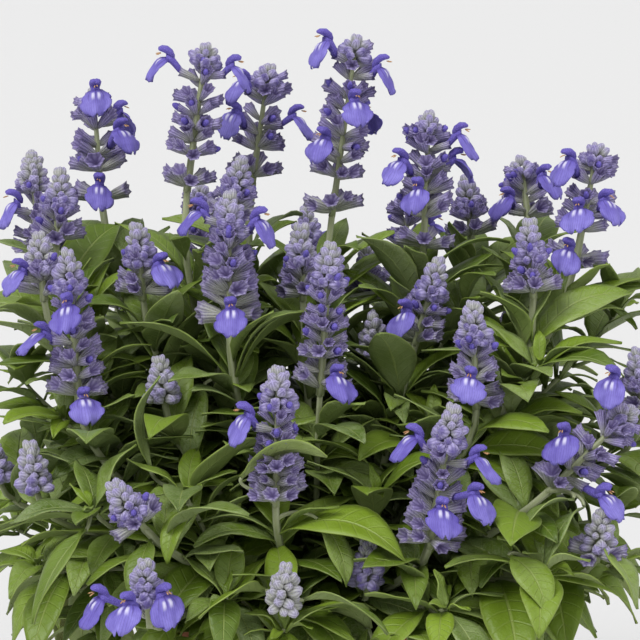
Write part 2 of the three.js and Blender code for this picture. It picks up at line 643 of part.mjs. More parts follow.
const sage = new THREE.Group();
const stems = Object.entries(STEMS).map(([number, plan]) => layOutStem(number, plan));
const leaves = placeLeaves(stems);
sage.add(piece('pot', makePot(), FINISH.pot));
sage.add(piece('soil', makeSoil(stems), FINISH.soil));
for (const stem of stems) sage.add(piece(stem.name, stemSolid(stem, leaves), FINISH.stem));
const spikeDraw = drawsFrom(SPIKE.seed);
for (const [name, spike] of Object.entries(SPIKES)) {
  sage.add(piece(`flower_spike_${name}`, spikeSolid(spike, spikeDraw), FINISH.spike));
}

export default sage;
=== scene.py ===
"""A potted mealycup sage in flower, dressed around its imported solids. Lengths are in millimetres until a
piece is finished, and then in metres."""
import functools
import math

import bmesh
import bpy
import numpy as np
from bpy.props import FloatProperty, FloatVectorProperty, IntProperty, PointerProperty
from mathutils import Matrix, Vector, noise


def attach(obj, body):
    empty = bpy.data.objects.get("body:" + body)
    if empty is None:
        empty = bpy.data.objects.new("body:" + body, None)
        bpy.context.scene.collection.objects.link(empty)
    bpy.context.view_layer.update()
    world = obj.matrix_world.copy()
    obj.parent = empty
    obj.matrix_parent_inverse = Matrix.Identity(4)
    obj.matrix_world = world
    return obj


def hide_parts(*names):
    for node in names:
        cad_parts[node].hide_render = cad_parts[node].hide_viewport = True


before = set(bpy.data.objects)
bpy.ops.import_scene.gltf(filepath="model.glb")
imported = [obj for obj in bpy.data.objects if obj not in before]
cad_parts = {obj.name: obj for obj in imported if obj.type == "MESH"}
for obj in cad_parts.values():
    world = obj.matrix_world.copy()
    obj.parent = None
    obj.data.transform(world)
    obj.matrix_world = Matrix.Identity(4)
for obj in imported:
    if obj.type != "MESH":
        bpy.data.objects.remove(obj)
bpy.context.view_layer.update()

bl_info = {
    "name": "Potted mealycup sage",
    "version": (1, 0, 0),
    "blender": (4, 5, 0),
    "location": "3D View > Sidebar > Sage",
    "description": "Dresses the packed solids of a potted sage with fine leaves, cups, buds and blooms",
    "category": "Add Mesh",
}

MM = 0.001
UP = np.array([0.0, 0.0, 1.0])

# Sizes shared with the solids

POT = {"height": 120, "top": 70, "base": 48, "wall": 4.5, "floor": 6, "band": 24, "proud": 2.5,
       "drains": 3, "drain_radius": 5, "drain_circle": 27}
SOIL = {"top": 110, "crown": 2, "plateau": 54, "gap": 0.4}
DOME = {"radius": 152, "top": 278, "bottom": 60, "rise": 130}
STEM = {"width": 3, "side": 2.6, "shoot": 2.2, "trunk_steps": 4, "steps": 2, "sunk": 14, "spread": 0.36,
        "start_handle": 0.42, "end_handle": 0.3, "rim_handle": 0.45, "least_handle": 3,
        "low_fork": 10, "low_reach": 40, "fork_rise": 0.3, "highest_fork": 0.9, "fork_step": 0.02,
        "fork_lean": 0.6, "shoot_lean": 0.7}
LEAF = {"seed": 26, "shortest": 44, "longest": 56, "slim": 0.3, "broad": 0.36, "lowest": 1.12, "tuft": 0.72,
        "inner": 0.8, "inner_facing": -0.3, "stalk_end": 0.06, "stalk_width": 0.1, "sunk": 0.4,
        "low_pitch": 2, "high_pitch": 42, "droop": 22, "pitch_jitter": 26, "turn_jitter": 0.5,
        "parting": 0.8, "least_arch": 0.06, "most_arch": 0.15, "roll": 0.7, "spacing": 17,
        "shoot_spacing": 13, "shoot_bare": 0.5, "low_bare": 8, "high_bare": 22, "bare_from": 150,
        "bare_to": 230, "two_pairs_over": 250, "three_pairs_under": 180, "last_node": 0.8}
SWINGS = ((0, 0), (0.35, 0), (-0.35, 0), (0, 0.3), (0, -0.3), (0.6, 0.2), (-0.6, 0.2), (0.8, -0.2),
          (-0.8, -0.2), (0.2, 0.6), (-0.2, 0.6))
SPIKE = {"seed": 31, "first_whorl": 2.5, "spacing": 14, "crowding": 0.9, "cups": 4, "top_cups": 3,
         "low_tilt": 18, "high_tilt": 50, "jitter": 0.3, "smallest": 0.92, "largest": 1.08}
HEAD = {"height": 15, "over_stalk": 9, "over_whorl": 2, "bare_under": 19}
BLOOM = {"rise": 0.3, "lowest": 3, "room": 0.75, "room_height": 7}
CLEAR = {"leaf": 4.6, "own": 5.4, "stem": 3.6, "spike": 12, "head": 9.5, "bloom": 10, "rim": 4, "step": 3.5,
         "least_by_flowers": 0.75}
BLADE = {"swell": 0.8, "fullness": 0.88, "tip_width": 0.03, "edge_lag": 1.3, "flatten": 0.45, "wave": 0.9}
SAMPLES = np.array([(s, u) for s in (0.14, 0.24, 0.36, 0.48, 0.6, 0.72, 0.84, 0.95)
                    for u in (-0.85, -0.3, 0.3, 0.85)])

# Flower spikes: foot, tip, and the middle of each open bloom's lower lip

SPIKES = {
    "a": ((-95, 50, 281), (-99, 60, 329),
          ((-97, 50, 328), (-84, 42, 312), (-86, 66, 318), (-95, 38, 288))),
    "b1": ((-119, 20, 262), (-122, 25, 304), ((-131, 18, 283),)),
    "b2": ((-109, -4, 270), (-107, -2, 299), ()),
    "c1": ((-111, -32, 251), (-113, -30, 276), ((-122, -38, 262),)),
    "c2": ((-96, -48, 213), (-99, -52, 272), ((-99, -63, 251), (-112, -56, 240), (-92, -60, 214))),
    "d": ((-55, 0, 292), (-47, 5, 350), ((-66, 2, 345), (-33, 2, 341))),
    "e": ((-29, 38, 292), (-22, 40, 340), ((-35, 30, 334), (-38, 28, 320), (-8, 36, 318))),
    "f1": ((-36, -10, 281), (-32, -12, 305), ()),
    "f2": ((-36, -42, 243), (-36, -44, 294), ((-35, -57, 249), (-50, -46, 287), (-22, -48, 283))),
    "g": ((-72, -22, 250), (-74, -24, 279), ((-62, -34, 264),)),
    "h": ((5, 8, 281), (15, 10, 353),
          ((0, 2, 351), (27, 6, 340), (15, -5, 327), (0, -4, 312), (20, 20, 322))),
    "i": ((43, 0, 267), (45, 5, 322), ((31, -8, 303), (39, -13, 292), (60, 0, 313), (59, 4, 303))),
    "j": ((66, 48, 266), (64, 50, 291), ()),
    "k": ((90, 40, 275), (87, 45, 300), ((98, 34, 293), (78, 32, 284))),
    "l": ((106, 0, 261), (115, 5, 309),
          ((100, -6, 303), (105, -14, 284), (119, -10, 287), (101, -13, 267))),
    "m": ((86, -30, 252), (84, -28, 281), ()),
    "n": ((-7, -12, 248), (-8, -10, 277), ()),
    "o": ((0, -50, 216), (4, -55, 275), ((8, -66, 224),)),
    "p": ((39, -20, 231), (48, -18, 264), ((33, -32, 244),)),
    "q": ((62, -52, 211), (60, -55, 252), ((58, -68, 224),)),
    "r": ((42, -85, 163), (50, -98, 219), ((62, -99, 199), (60, -107, 186), (46, -112, 182), (33, -96, 207))),
    "s": ((-17, -84, 179), (-16, -88, 232), ((-30, -92, 213),)),
    "t": ((131, -30, 205), (129, -30, 229), ()),
    "u": ((89, -70, 181), (121, -66, 212), ((93, -80, 203), (112, -74, 224), (112, -80, 180))),
    "v": ((107, -80, 156), (109, -82, 175), ()),
    "w": ((-112, -62, 180), (-114, -62, 197), ()),
    "x": ((-131, -34, 178), (-134, -37, 194), ()),
    "y": ((-67, -92, 172), (-78, -96, 189), ()),
    "z": ((-64, -107, 138), (-66, -112, 163), ((-84, -117, 149), (-72, -126, 149), (-57, -120, 150))),
    "aa": ((18, -84, 148), (18, -86, 164), ()),
    "ac": ((-14, -110, 146), (-13, -113, 161), ()),
    "ad": ((-62, -48, 213), (-64, -48, 229), ()),
    "ae": ((23, -6, 225), (22, -8, 240), ()),
    "af": ((20, 33, 240), (20, 36, 262), ()),
    "ba": ((-92, 92, 222), (-96, 98, 262), ((-104, 104, 244),)),
    "bb": ((-52, 84, 240), (-54, 90, 284), ((-52, 104, 268), (-68, 90, 256))),
    "bc": ((-8, 96, 232), (-6, 104, 272), ((4, 116, 254),)),
    "bd": ((38, 82, 240), (40, 88, 282), ((54, 92, 266), (36, 102, 254))),
    "be": ((90, 86, 216), (94, 92, 256), ((98, 106, 240),)),
}

# Leafy stems: the spikes they carry, and where their leafy shoots end

STEMS = {
    1: (("a", "ba"), ((-98, 84, 186), (-126, 42, 176), (-84, 66, 140))),
    2: (("b2", "b1"), ((-126, 2, 214), (-128, -6, 150))),
    3: (("c1", "x"), ((-104, -36, 204),)),
    4: (("c2", "w"), ((-88, -78, 176), (-112, -64, 150))),
    5: (("y", "z"), ((-52, -74, 180), (-36, -96, 146))),
    6: (("d", "g", "f1"), ((-84, 8, 246),)),
    7: (("f2", "ad"), ()),
    8: (("s", "ac"), ((-14, -100, 134),)),
    9: (("n", "o"), ((-20, -40, 200),)),
    10: (("r", "aa"), ((22, -62, 178), (48, -98, 142))),
    11: (("p", "q"), ((46, -30, 200),)),
    12: (("u", "v"), ((86, -88, 154), (116, -56, 148))),
    13: (("m", "t"), ((88, -40, 226), (122, -22, 190))),
    14: (("l", "k"), ((126, 12, 240), (122, 42, 190), (128, 4, 156))),
    15: (("i", "ae"), ((60, 0, 244),)),
    16: (("h", "af"), ((-14, 22, 244),)),
    17: (("j", "bd", "be"), ((96, 78, 160), (56, 108, 170), (66, 60, 226), (72, 72, 136))),
    18: (("e", "bb"), ((-50, 106, 172), (-66, 62, 232), (-46, 88, 138))),
    19: (("bc",), ((6, 120, 162), (-20, 84, 220), (22, 92, 136))),
}
SIDES = {"left": (1, 2, 3, 4, 5), "middle": (6, 7, 8, 9, 10), "right": (11, 12, 13, 14, 15),
         "back": (16, 17, 18, 19)}

# Leaves that stand out in the photo: root, tip, width and roll

MARKED_LEAVES = (
    ((-89, -95, 172), (-107, -115, 141), 16, 0.3), ((-47, -75, 180), (-20, -80, 204), 14, -0.5),
    ((-30, -88, 191), (3, -95, 201), 13, -0.6), ((-21, -100, 150), (-45, -118, 144), 15, 0.5),
    ((-6, -110, 149), (25, -122, 139), 14, -0.4), ((-1, -85, 174), (10, -95, 150), 11, 0.2),
    ((-67, -60, 188), (-63, -62, 226), 13, 0.2), ((-47, -30, 216), (-52, -50, 185), 13, 0),
    ((-51, -85, 179), (-58, -100, 160), 10, 0), ((-62, -95, 169), (-70, -112, 146), 12, 0.2),
    ((85, -30, 228), (93, -30, 255), 11, 0.3), ((108, 20, 248), (132, 0, 234), 12, -0.2),
    ((72, -95, 162), (85, -115, 144), 15, 0.2), ((98, -80, 181), (75, -95, 171), 12, 0.4),
    ((102, -80, 178), (85, -98, 156), 13, 0.4), ((108, -85, 164), (122, -95, 141), 17, -0.2),
    ((85, -100, 157), (102, -105, 163), 10, -0.4), ((88, -40, 226), (111, -45, 232), 11, -0.4),
)


# Vectors, draws and curves

def unit(vector):
    return vector / np.linalg.norm(vector)


def between(low, high, share):
    return low + (high - low) * share


def clamp(value, low=0.0, high=1.0):
    return min(max(value, low), high)


def draws_from(seed):
    """Seeded draws between 0 and 1, the same on every run."""
    state = seed

    def draw():
        nonlocal state
        state = (state * 1664525 + 1013904223) & 0xFFFFFFFF
        return state / 4294967296

    return draw


class Path:
    """A cubic Bezier curve that is read by its share of the length."""

    steps = np.linspace(0, 1, 201)
    nudge = 0.01

    def __init__(self, start, start_handle, end_handle, end):
        self.handles = np.array([start, start_handle, end_handle, end], float)
        runs = np.linalg.norm(np.diff(self.place(self.steps), axis=0), axis=1)
        self.lengths = np.concatenate([[0], np.cumsum(runs)])

    def place(self, t):
        t = np.asarray(t, float)[..., None]
        weights = np.concatenate([(1 - t) ** 3, 3 * t * (1 - t) ** 2, 3 * t * t * (1 - t), t ** 3], -1)
        return weights @ self.handles

    def at(self, share):
        return self.place(np.interp(np.asarray(share) * self.lengths[-1], self.lengths, self.steps))

    def direction(self, share):
        low, high = clamp(share - self.nudge), clamp(share + self.nudge)
        return unit(self.at(high) - self.at(low))


class Branch:
    """One stem or shoot: its curve, and the straight runs that its solid follows."""

    def __init__(self, path, width, steps, spike, number):
        self.path, self.width, self.spike, self.number = path, width, spike, number
        self.points = path.at(np.linspace(0, 1, steps + 1))
        self.end = self.points[-1]
        self.total = np.linalg.norm(np.diff(self.points, axis=0), axis=1).sum()

    def on_runs(self, share):
        runs = len(self.points) - 1
        run = min(int(share * runs), runs - 1)
        step = self.points[run + 1] - self.points[run]
        return self.points[run] + step * (share * runs - run), unit(step)


class Axis:
    """The straight middle line of a flower spike."""

    def __init__(self, name):
        foot, tip, self.blooms = SPIKES[name]
        self.name, self.foot = name, np.array(foot, float)
        self.length = np.linalg.norm(np.array(tip) - self.foot)
        self.along = unit(np.array(tip) - self.foot)
        self.side = unit(np.cross(self.along, (0, 1, 0)))
        self.front = np.cross(self.along, self.side)

    def at(self, height):
        return self.foot + self.along * height

    def out(self, angle, rising=0.0):
        """The direction that points away from the line at an angle round it, and rises from it."""
        flat = self.side * math.cos(angle) + self.front * math.sin(angle)
        return flat * math.cos(rising) + self.along * math.sin(rising)


def branch_path(start, start_direction, end, end_direction):
    distance = np.linalg.norm(end - start)
    over_rim = max((end[2] - POT["height"]) * STEM["rim_handle"], STEM["least_handle"])
    return Path(start, start + start_direction * distance * STEM["start_handle"],
                end - end_direction * min(distance * STEM["end_handle"], over_rim), end)


def out_and_up(start, end, lean):
    return unit(unit((end - start) * (1, 1, 0)) * lean + UP)


def fork_spot(trunk, end_height):
    over_reach = max(0, end_height - SOIL["top"] - STEM["low_reach"])
    height = SOIL["top"] + STEM["low_fork"] + STEM["fork_rise"] * over_reach
    share = 0
    while share < STEM["highest_fork"] and trunk.on_runs(share)[0][2] < height:
        share += STEM["fork_step"]
    return trunk.on_runs(share)[0]


def lay_out_stem(number):
    spikes, shoots = STEMS[number]
    middle = sum(np.array(SPIKES[name][0], float) for name in spikes) / len(spikes)
    root = middle * STEM["spread"] * (1, 1, 0) + UP * (SOIL["top"] - STEM["sunk"])
    first = Axis(spikes[0])
    path = branch_path(root, UP, first.foot, first.along)
    trunk = Branch(path, STEM["width"], STEM["trunk_steps"], first, number)
    branches = [trunk]
    for name in spikes[1:]:
        axis = Axis(name)
        fork = fork_spot(trunk, axis.foot[2])
        path = branch_path(fork, out_and_up(fork, axis.foot, STEM["fork_lean"]), axis.foot, axis.along)
        branches.append(Branch(path, STEM["side"], STEM["steps"], axis, number))
    for place in shoots:
        end = np.array(place, float)
        fork = fork_spot(trunk, end[2])
        arrival = out_and_up(fork, end, STEM["shoot_lean"])
        path = branch_path(fork, out_and_up(fork, end, STEM["fork_lean"]), end, arrival)
        branches.append(Branch(path, STEM["shoot"], STEM["steps"], None, number))
    return branches


# Leaves

class Leaf:
    """A blade between its root and tip, arched, rolled and waved."""

    def __init__(self, root, tip, width, arch, roll, waves, phase, owner, tint=0.5, twist=0.0, fold=0.2):
        self.root, self.tip, self.width = np.array(root, float), np.array(tip, float), width
        self.arch, self.roll, self.waves, self.phase = arch, roll, waves, phase
        self.owner, self.tint, self.twist, self.fold, self.is_fine = owner, tint, twist, fold, True

    @staticmethod
    def outline(s):
        """Share of the full width along the blade: a narrow stalk, then a lance shape."""
        grown = np.clip((s - LEAF["stalk_end"]) / (1 - LEAF["stalk_end"]), 0, 1) ** BLADE["swell"]
        lance = np.clip(np.sin(np.pi * grown), 0, 1) ** BLADE["fullness"]
        return np.maximum(np.where(s < 0.5, LEAF["stalk_width"], BLADE["tip_width"]), lance)

    def places(self, s, u, wave=0.6, fold=0.0):
        """Places at shares s of the length, and u of the half width from the left edge to the right."""
        chord = self.tip - self.root
        length = np.linalg.norm(chord)
        along = chord / length
        sideways = unit(np.array([-along[1], along[0], 0.0]))
        lift = np.cross(along, sideways)
        s, u = s[:, None], u[:, None]
        slope = 4 * self.arch * (1 - 2 * s) / length
        tangent = along + lift * slope
        tangent /= np.linalg.norm(tangent, axis=1, keepdims=True)
        normal = np.cross(tangent, sideways)
        roll = self.roll + self.twist * (s - 0.5)
        across = sideways * np.cos(roll) + normal * np.sin(roll)
        out = normal * np.cos(roll) - sideways * np.sin(roll)
        half = self.width / 2 * self.outline(s)
        ripple = wave * np.sin(self.waves * np.pi * s + self.phase + (u > 0) * BLADE["edge_lag"]) * np.abs(u)
        cupped = fold * half * np.abs(u) * (1 - BLADE["flatten"] * u * u)
        return (self.root + along * length * s + lift * 4 * self.arch * s * (1 - s)
                + across * u * half * math.cos(fold) + out * (ripple + cupped))

    def samples(self):
        return self.places(SAMPLES[:, 0], SAMPLES[:, 1])

    def moved(self, step):
        return Leaf(self.root + step, self.tip + step, self.width, self.arch, self.roll, self.waves,
                    self.phase, self.owner, self.tint, self.twist, self.fold)


class Room:
    """Places that are taken, and how near each lets a leaf of its own stem or of another one come."""

    most = 160000

    def __init__(self):
        self.places, self.owners = np.empty((self.most, 3)), np.empty(self.most, int)
        self.own, self.other, self.count = np.empty(self.most), np.empty(self.most), 0

    def take(self, places, owner, own, other):
        places = np.atleast_2d(places)
        new = slice(self.count, self.count + len(places))
        self.places[new], self.owners[new], self.own[new], self.other[new] = places, owner, own, other
        self.count += len(places)

    def is_clear(self, samples, owner, ease=1.0):
        from_middle = np.hypot(samples[:, 0], samples[:, 1])
        height = samples[:, 2]
        over_pot = (from_middle < POT["top"] + CLEAR["rim"]) & (height < POT["height"] + CLEAR["rim"])
        if (over_pot | (from_middle > DOME["radius"]) | (height > DOME["top"])
                | (height < DOME["bottom"])).any():
            return False
        low, high = samples.min(0) - CLEAR["spike"], samples.max(0) + CLEAR["spike"]
        places = self.places[:self.count]
        near = np.flatnonzero((places[:, 0] > low[0]) & (places[:, 0] < high[0]))
        near = near[((places[near] > low) & (places[near] < high)).all(1)]
        needed = np.where(self.owners[near] == owner, self.own[near], self.other[near])
        needed = needed * np.where(self.owners[near] == 0, max(ease, CLEAR["least_by_flowers"]), ease)
        gaps = ((samples[:, None] - places[near]) ** 2).sum(-1)
        return bool((gaps >= needed ** 2).all())


def take_stems_and_spikes(room, stems):
    """Stems of other owners, and every spike and bloom, are kept clear of. A spike has no leaf of its own."""
    for branches in stems.values():
        for branch in branches:
            steps = math.ceil(branch.total / CLEAR["step"])
            for n in range(steps + 1):
                room.take(branch.on_runs(n / steps)[0], branch.number, 0, CLEAR["stem"])
            axis = branch.spike
            if not axis:
                continue
            height = SPIKE["first_whorl"]
            while height < axis.length:
                room.take(axis.at(height), 0, 0, between(CLEAR["spike"], CLEAR["head"], height / axis.length))
                height += CLEAR["step"]
            for bloom in axis.blooms:
                room.take(np.array(bloom, float), 0, 0, CLEAR["bloom"])


def leaf_nodes(branch):
    """How far under the end the first pair stands, how far apart pairs are, and how many there are."""
    if not branch.spike:
        pairs = 3 if branch.end[2] < LEAF["three_pairs_under"] else 2
        return LEAF["shoot_bare"], LEAF["shoot_spacing"], pairs
    high = clamp((branch.end[2] - LEAF["bare_from"]) / (LEAF["bare_to"] - LEAF["bare_from"]))
    pairs = 2 if branch.end[2] > LEAF["two_pairs_over"] else 1
    return between(LEAF["low_bare"], LEAF["high_bare"], high), LEAF["spacing"], pairs


def leaf_at(branch, spot, stem_direction, azimuth, swing, lift, length, width, pitch, draw):
    azimuth += swing
    flat = np.array([math.cos(azimuth), math.sin(azimuth), 0.0])
    steepest = math.atan2(stem_direction[2], stem_direction @ flat) - LEAF["parting"]
    pitch = min(pitch + lift, steepest)
    root = spot + flat * (branch.width / 2 - LEAF["sunk"])
    tip = root + (flat * math.cos(pitch) + UP * math.sin(pitch)) * length
    return Leaf(root, tip, width, length * between(LEAF["least_arch"], LEAF["most_arch"], draw["arch"]),
                (draw["roll"] - 0.5) * LEAF["roll"], 2 + draw["waves"], draw["phase"] * 2 * math.pi,
                branch.number)


def stance(branch, spot, azimuth, draw, is_tuft):
    """Length, width and pitch that a leaf has by its place on the plant."""
    facing = math.cos(azimuth - math.atan2(spot[1], spot[0]))
    high = clamp((spot[2] - POT["height"]) / DOME["rise"])
    far = clamp(math.hypot(spot[0], spot[1]) / DOME["radius"])
    share = (LEAF["tuft"] if is_tuft else 1) * (LEAF["inner"] if facing < LEAF["inner_facing"] else 1)
    share *= between(LEAF["lowest"], 1, high)
    length = between(LEAF["shortest"], LEAF["longest"], draw["size"]) * share
    pitch = math.radians(between(LEAF["low_pitch"], LEAF["high_pitch"], high) - LEAF["droop"] * facing * far
                         + (draw["pitch"] - 0.5) * LEAF["pitch_jitter"])
    return length, length * between(LEAF["slim"], LEAF["broad"], draw["size"]), pitch


DRAWN = ("arch", "roll", "waves", "phase", "size", "pitch")


def place_pair(leaves, room, branch, down, quarter, is_tuft, random):
    """The two leaves of one node. Each is swung aside or lifted until it is clear, or else left out."""
    share = 1 - down / branch.total
    spot, direction = branch.on_runs(share)
    for half in range(2):
        draw = {name: random() for name in DRAWN}
        azimuth = quarter + half * math.pi + (random() - 0.5) * LEAF["turn_jitter"]
        length, width, pitch = stance(branch, spot, azimuth, draw, is_tuft)
        for swing, lift in SWINGS:
            leaf = leaf_at(branch, spot, direction, azimuth, swing, lift, length, width, pitch, draw)
            if room.is_clear(leaf.samples(), branch.number):
                room.take(leaf.samples(), branch.number, CLEAR["own"], CLEAR["leaf"])
                leaves.append(leaf.moved(branch.path.at(share) - spot))
                break


def place_leaves(stems, room):
    """The leaves of the solids, pair by pair, each pair a quarter turn on from the last."""
    leaves, random = [], draws_from(LEAF["seed"])
    for branches in stems.values():
        for branch in branches:
            bare, spacing, pairs = leaf_nodes(branch)
            quarter = random() * math.pi
            for pair in range(pairs):
                down = bare + pair * spacing
                if down > branch.total * LEAF["last_node"]:
                    break
                quarter += math.pi / 2
                is_tuft = not branch.spike and pair == 0
                place_pair(leaves, room, branch, down, quarter, is_tuft, random)
    return leaves


# Leaves that only the scene has. Each pass has the seed of its draws, how far below the end its first pair
# stands, how far apart pairs are, the share of the stem that it covers, its leaves' lengths, the lowest and
# farthest place that it reaches, and the share of the solids' clearance that it keeps

FILL = {
    "between": {"seed": 77, "first": 5, "spacing": 13, "last": 0.9, "shortest": 24, "longest": 42,
                "lowest": 118, "farthest": 150, "ease": 0.5},
    "skirt": {"seed": 29, "first": 7, "spacing": 8.5, "last": 0.72, "shortest": 28, "longest": 44,
              "lowest": 100, "farthest": 150, "ease": 0.4},
    "heart": {"seed": 51, "first": 12, "spacing": 13, "last": 0.9, "shortest": 32, "longest": 46,
              "lowest": 122, "farthest": 104, "ease": 0.34},
}
FILLING = {"slim": 0.34, "broad": 0.42, "tint": 0.42, "bare_share": 0.45, "turn_jitter": 0.8, "swings": 5}
ROSETTE = {"seed": 12, "leaves": 4, "ease": 0.3, "turn_jitter": 0.4, "rings": (
    {"down": 0, "shortest": 10, "longest": 17, "low_pitch": 50, "high_pitch": 72, "tint": 0.85},
    {"down": 3, "shortest": 20, "longest": 31, "low_pitch": 12, "high_pitch": 48, "tint": 0.6})}
SKIRT = {"seed": 3, "shoots": 18, "turn_jitter": 0.5, "root": 44, "sunk": 4, "width": 2.1, "steps": 5,
         "handles": ((56, 138), (84, 136)), "nearest": 88, "farthest": 112, "lowest": 106, "highest": 124,
         "back_over": 0.5, "side_over": 0.35}
MARKED = {"seed": 9, "lowest_share": 0.2, "places": 41, "climb_cost": 0.6, "near": 8, "off_stem": 0.8,
          "turn_in": 0.6, "handle": 0.35, "shoot_foot": 1.9, "shoot_tip": 1.3, "arch": 0.12, "tint": 0.55}
DRESS = {"seed": 5, "length": 0.9, "width": 1.12, "tint_jitter": 0.8, "twist_jitter": 0.9, "least_fold": 0.1,
         "most_fold": 0.42, "least_arch": 0.85, "most_arch": 1.6}


def side_of(out):
    """The side of the plant that a direction points to."""
    if out[1] > SKIRT["back_over"]:
        return "back"
    if abs(out[0]) > SKIRT["side_over"]:
        return "right" if out[0] > 0 else "left"
    return "middle"


def lay_out_skirt():
    """Low shoots from the soil that droop over the rim all round. Each belongs to the stems on its side."""
    branches, random = [], draws_from(SKIRT["seed"])
    for n in range(SKIRT["shoots"]):
        angle = (n + random() * SKIRT["turn_jitter"]) / SKIRT["shoots"] * 2 * math.pi
        out = np.array([math.cos(angle), math.sin(angle), 0.0])
        start = out * SKIRT["root"] + UP * (SOIL["top"] - SKIRT["sunk"])
        handles = [out * far + UP * high for far, high in SKIRT["handles"]]
        end = (out * between(SKIRT["nearest"], SKIRT["farthest"], random())
               + UP * between(SKIRT["lowest"], SKIRT["highest"], random()))
        stem = SIDES[side_of(out)][0]
        branches.append(Branch(Path(start, *handles, end), SKIRT["width"], SKIRT["steps"], None, stem))
    return branches


def grow(leaves, room, branch, down, azimuth, draw, length, pitch, ease, tint):
    """Adds one leaf where there is room for it."""
    share = 1 - down / branch.total
    spot, direction = branch.path.at(share), branch.path.direction(share)
    width = length * between(FILLING["slim"], FILLING["broad"], draw["size"])
    for swing, lift in SWINGS[:FILLING["swings"]]:
        leaf = leaf_at(branch, spot, direction, azimuth, swing, lift, length, width, pitch, draw)
        samples = leaf.samples()[::2]
        if room.is_clear(samples, branch.number, ease):
            room.take(samples, branch.number, CLEAR["own"], CLEAR["leaf"])
            leaf.tint, leaf.is_fine = tint, False
            leaves.append(leaf)
            return


def fill_in(leaves, room, branches, plan):
    """Pairs of leaves down each branch, a quarter turn on from pair to pair."""
    random = draws_from(plan["seed"])
    for branch in branches:
        down = plan["first"] + (leaf_nodes(branch)[0] * FILLING["bare_share"] if branch.spike else 0)
        quarter = random() * math.pi
        while down < branch.total * plan["last"]:
            spot = branch.path.at(1 - down / branch.total)
            quarter += math.pi / 2
            for half in range(2):
                draw = {name: random() for name in DRAWN}
                azimuth = quarter + half * math.pi + (random() - 0.5) * FILLING["turn_jitter"]
                pitch = stance(branch, spot, azimuth, draw, False)[2]
                if spot[2] > plan["lowest"] and math.hypot(spot[0], spot[1]) < plan["farthest"]:
                    length = between(plan["shortest"], plan["longest"], draw["size"])
                    grow(leaves, room, branch, down, azimuth, draw, length, pitch, plan["ease"],
                         FILLING["tint"])
            down += plan["spacing"]


def crown_shoots(leaves, room, branches):
    """Rings of young leaves round the end of each leafy shoot."""
    random = draws_from(ROSETTE["seed"])
    for branch in branches:
        for ring in ROSETTE["rings"]:
            turn = random() * math.pi
            for n in range(ROSETTE["leaves"]):
                draw = {name: random() for name in DRAWN}
                jitter = (random() - 0.5) * ROSETTE["turn_jitter"]
                azimuth = turn + n * 2 * math.pi / ROSETTE["leaves"] + jitter
                length = between(ring["shortest"], ring["longest"], draw["size"])
                pitch = math.radians(between(ring["low_pitch"], ring["high_pitch"], draw["pitch"]))
                grow(leaves, room, branch, ring["down"], azimuth, draw, length, pitch, ROSETTE["ease"],
                     ring["tint"])


def nearest_stem(stems, root):
    """How far the nearest stem is from a leaf's root, and the place, direction and branch there. Places above
    the root count as farther than they are."""
    best = None
    for branches in stems.values():
        for branch in branches:
            for share in np.linspace(MARKED["lowest_share"], 1, MARKED["places"]):
                place = branch.path.at(share)
                reach = np.linalg.norm(place - root)
                cost = reach + max(0, place[2] - root[2]) * MARKED["climb_cost"]
                if best is None or cost < best[0]:
                    best = cost, reach, place, branch.path.direction(share), branch
    return best[1:]


def marked_leaves(stems, room):
    """The leaves that stand out, each on the nearest stem or carried by a thin shoot from it. A shoot is
    given as its path and its width at foot and tip."""
    leaves, shoots, random = [], [], draws_from(MARKED["seed"])
    for root, tip, width, roll in MARKED_LEAVES:
        root, tip = np.array(root, float), np.array(tip, float)
        reach, place, direction, branch = nearest_stem(stems, root)
        if reach < MARKED["near"]:
            root = place + unit(tip - place) * MARKED["off_stem"]
        else:
            leaving = unit(direction + unit(root - place))
            arrival = unit(unit(tip - root) + unit(root - place) * MARKED["turn_in"])
            handle = reach * MARKED["handle"]
            path = Path(place, place + leaving * handle, root - arrival * handle, root)
            shoots.append((path, MARKED["shoot_foot"], MARKED["shoot_tip"]))
        arch = np.linalg.norm(tip - root) * MARKED["arch"]
        waves, phase = 2 + random(), random() * 2 * math.pi
        leaf = Leaf(root, tip, width, arch, roll, waves, phase, branch.number, MARKED["tint"])
        room.take(leaf.samples(), branch.number, CLEAR["own"], CLEAR["leaf"])
        leaves.append(leaf)
    return leaves, shoots


@functools.cache
def plant():
    """The whole plan: stems by number, low shoots, thin shoots, and leaves."""
    stems = {number: lay_out_stem(number) for number in STEMS}
    room = Room()
    take_stems_and_spikes(room, stems)
    leaves = place_leaves(stems, room)
    for leaf in leaves:
        leaf.tip = leaf.root + (leaf.tip - leaf.root) * DRESS["length"]
        leaf.width *= DRESS["width"]
    marked, shoots = marked_leaves(stems, room)
    leaves += marked
    skirt = lay_out_skirt()
    branches = [branch for branches in stems.values() for branch in branches]
    crown_shoots(leaves, room, [branch for branch in branches if not branch.spike] + skirt)
    fill_in(leaves, room, branches, FILL["between"])
    fill_in(leaves, room, skirt, FILL["skirt"])
    fill_in(leaves, room, branches, FILL["heart"])
    random = draws_from(DRESS["seed"])
    for leaf in leaves:
        leaf.tint = clamp(leaf.tint + (random() - 0.5) * DRESS["tint_jitter"])
        leaf.twist = (random() - 0.5) * DRESS["twist_jitter"]
        leaf.fold = between(DRESS["least_fold"], DRESS["most_fold"], random())
        leaf.arch *= between(DRESS["least_arch"], DRESS["most_arch"], random())
    return stems, skirt, shoots, leaves


# Spikes

def bloom_seats(axis):
    """Height on the spike, outward direction and lip middle of each bloom."""
    seats = []
    for middle in axis.blooms:
        middle = np.array(middle, float)
        lip_height = (middle - axis.foot) @ axis.along
        off = middle - axis.at(lip_height)
        height = clamp(lip_height - np.linalg.norm(off) * BLOOM["rise"], BLOOM["lowest"],
                       axis.length - BLOOM["lowest"])
        seats.append((height, unit(middle - axis.at(height)), middle))
    return seats


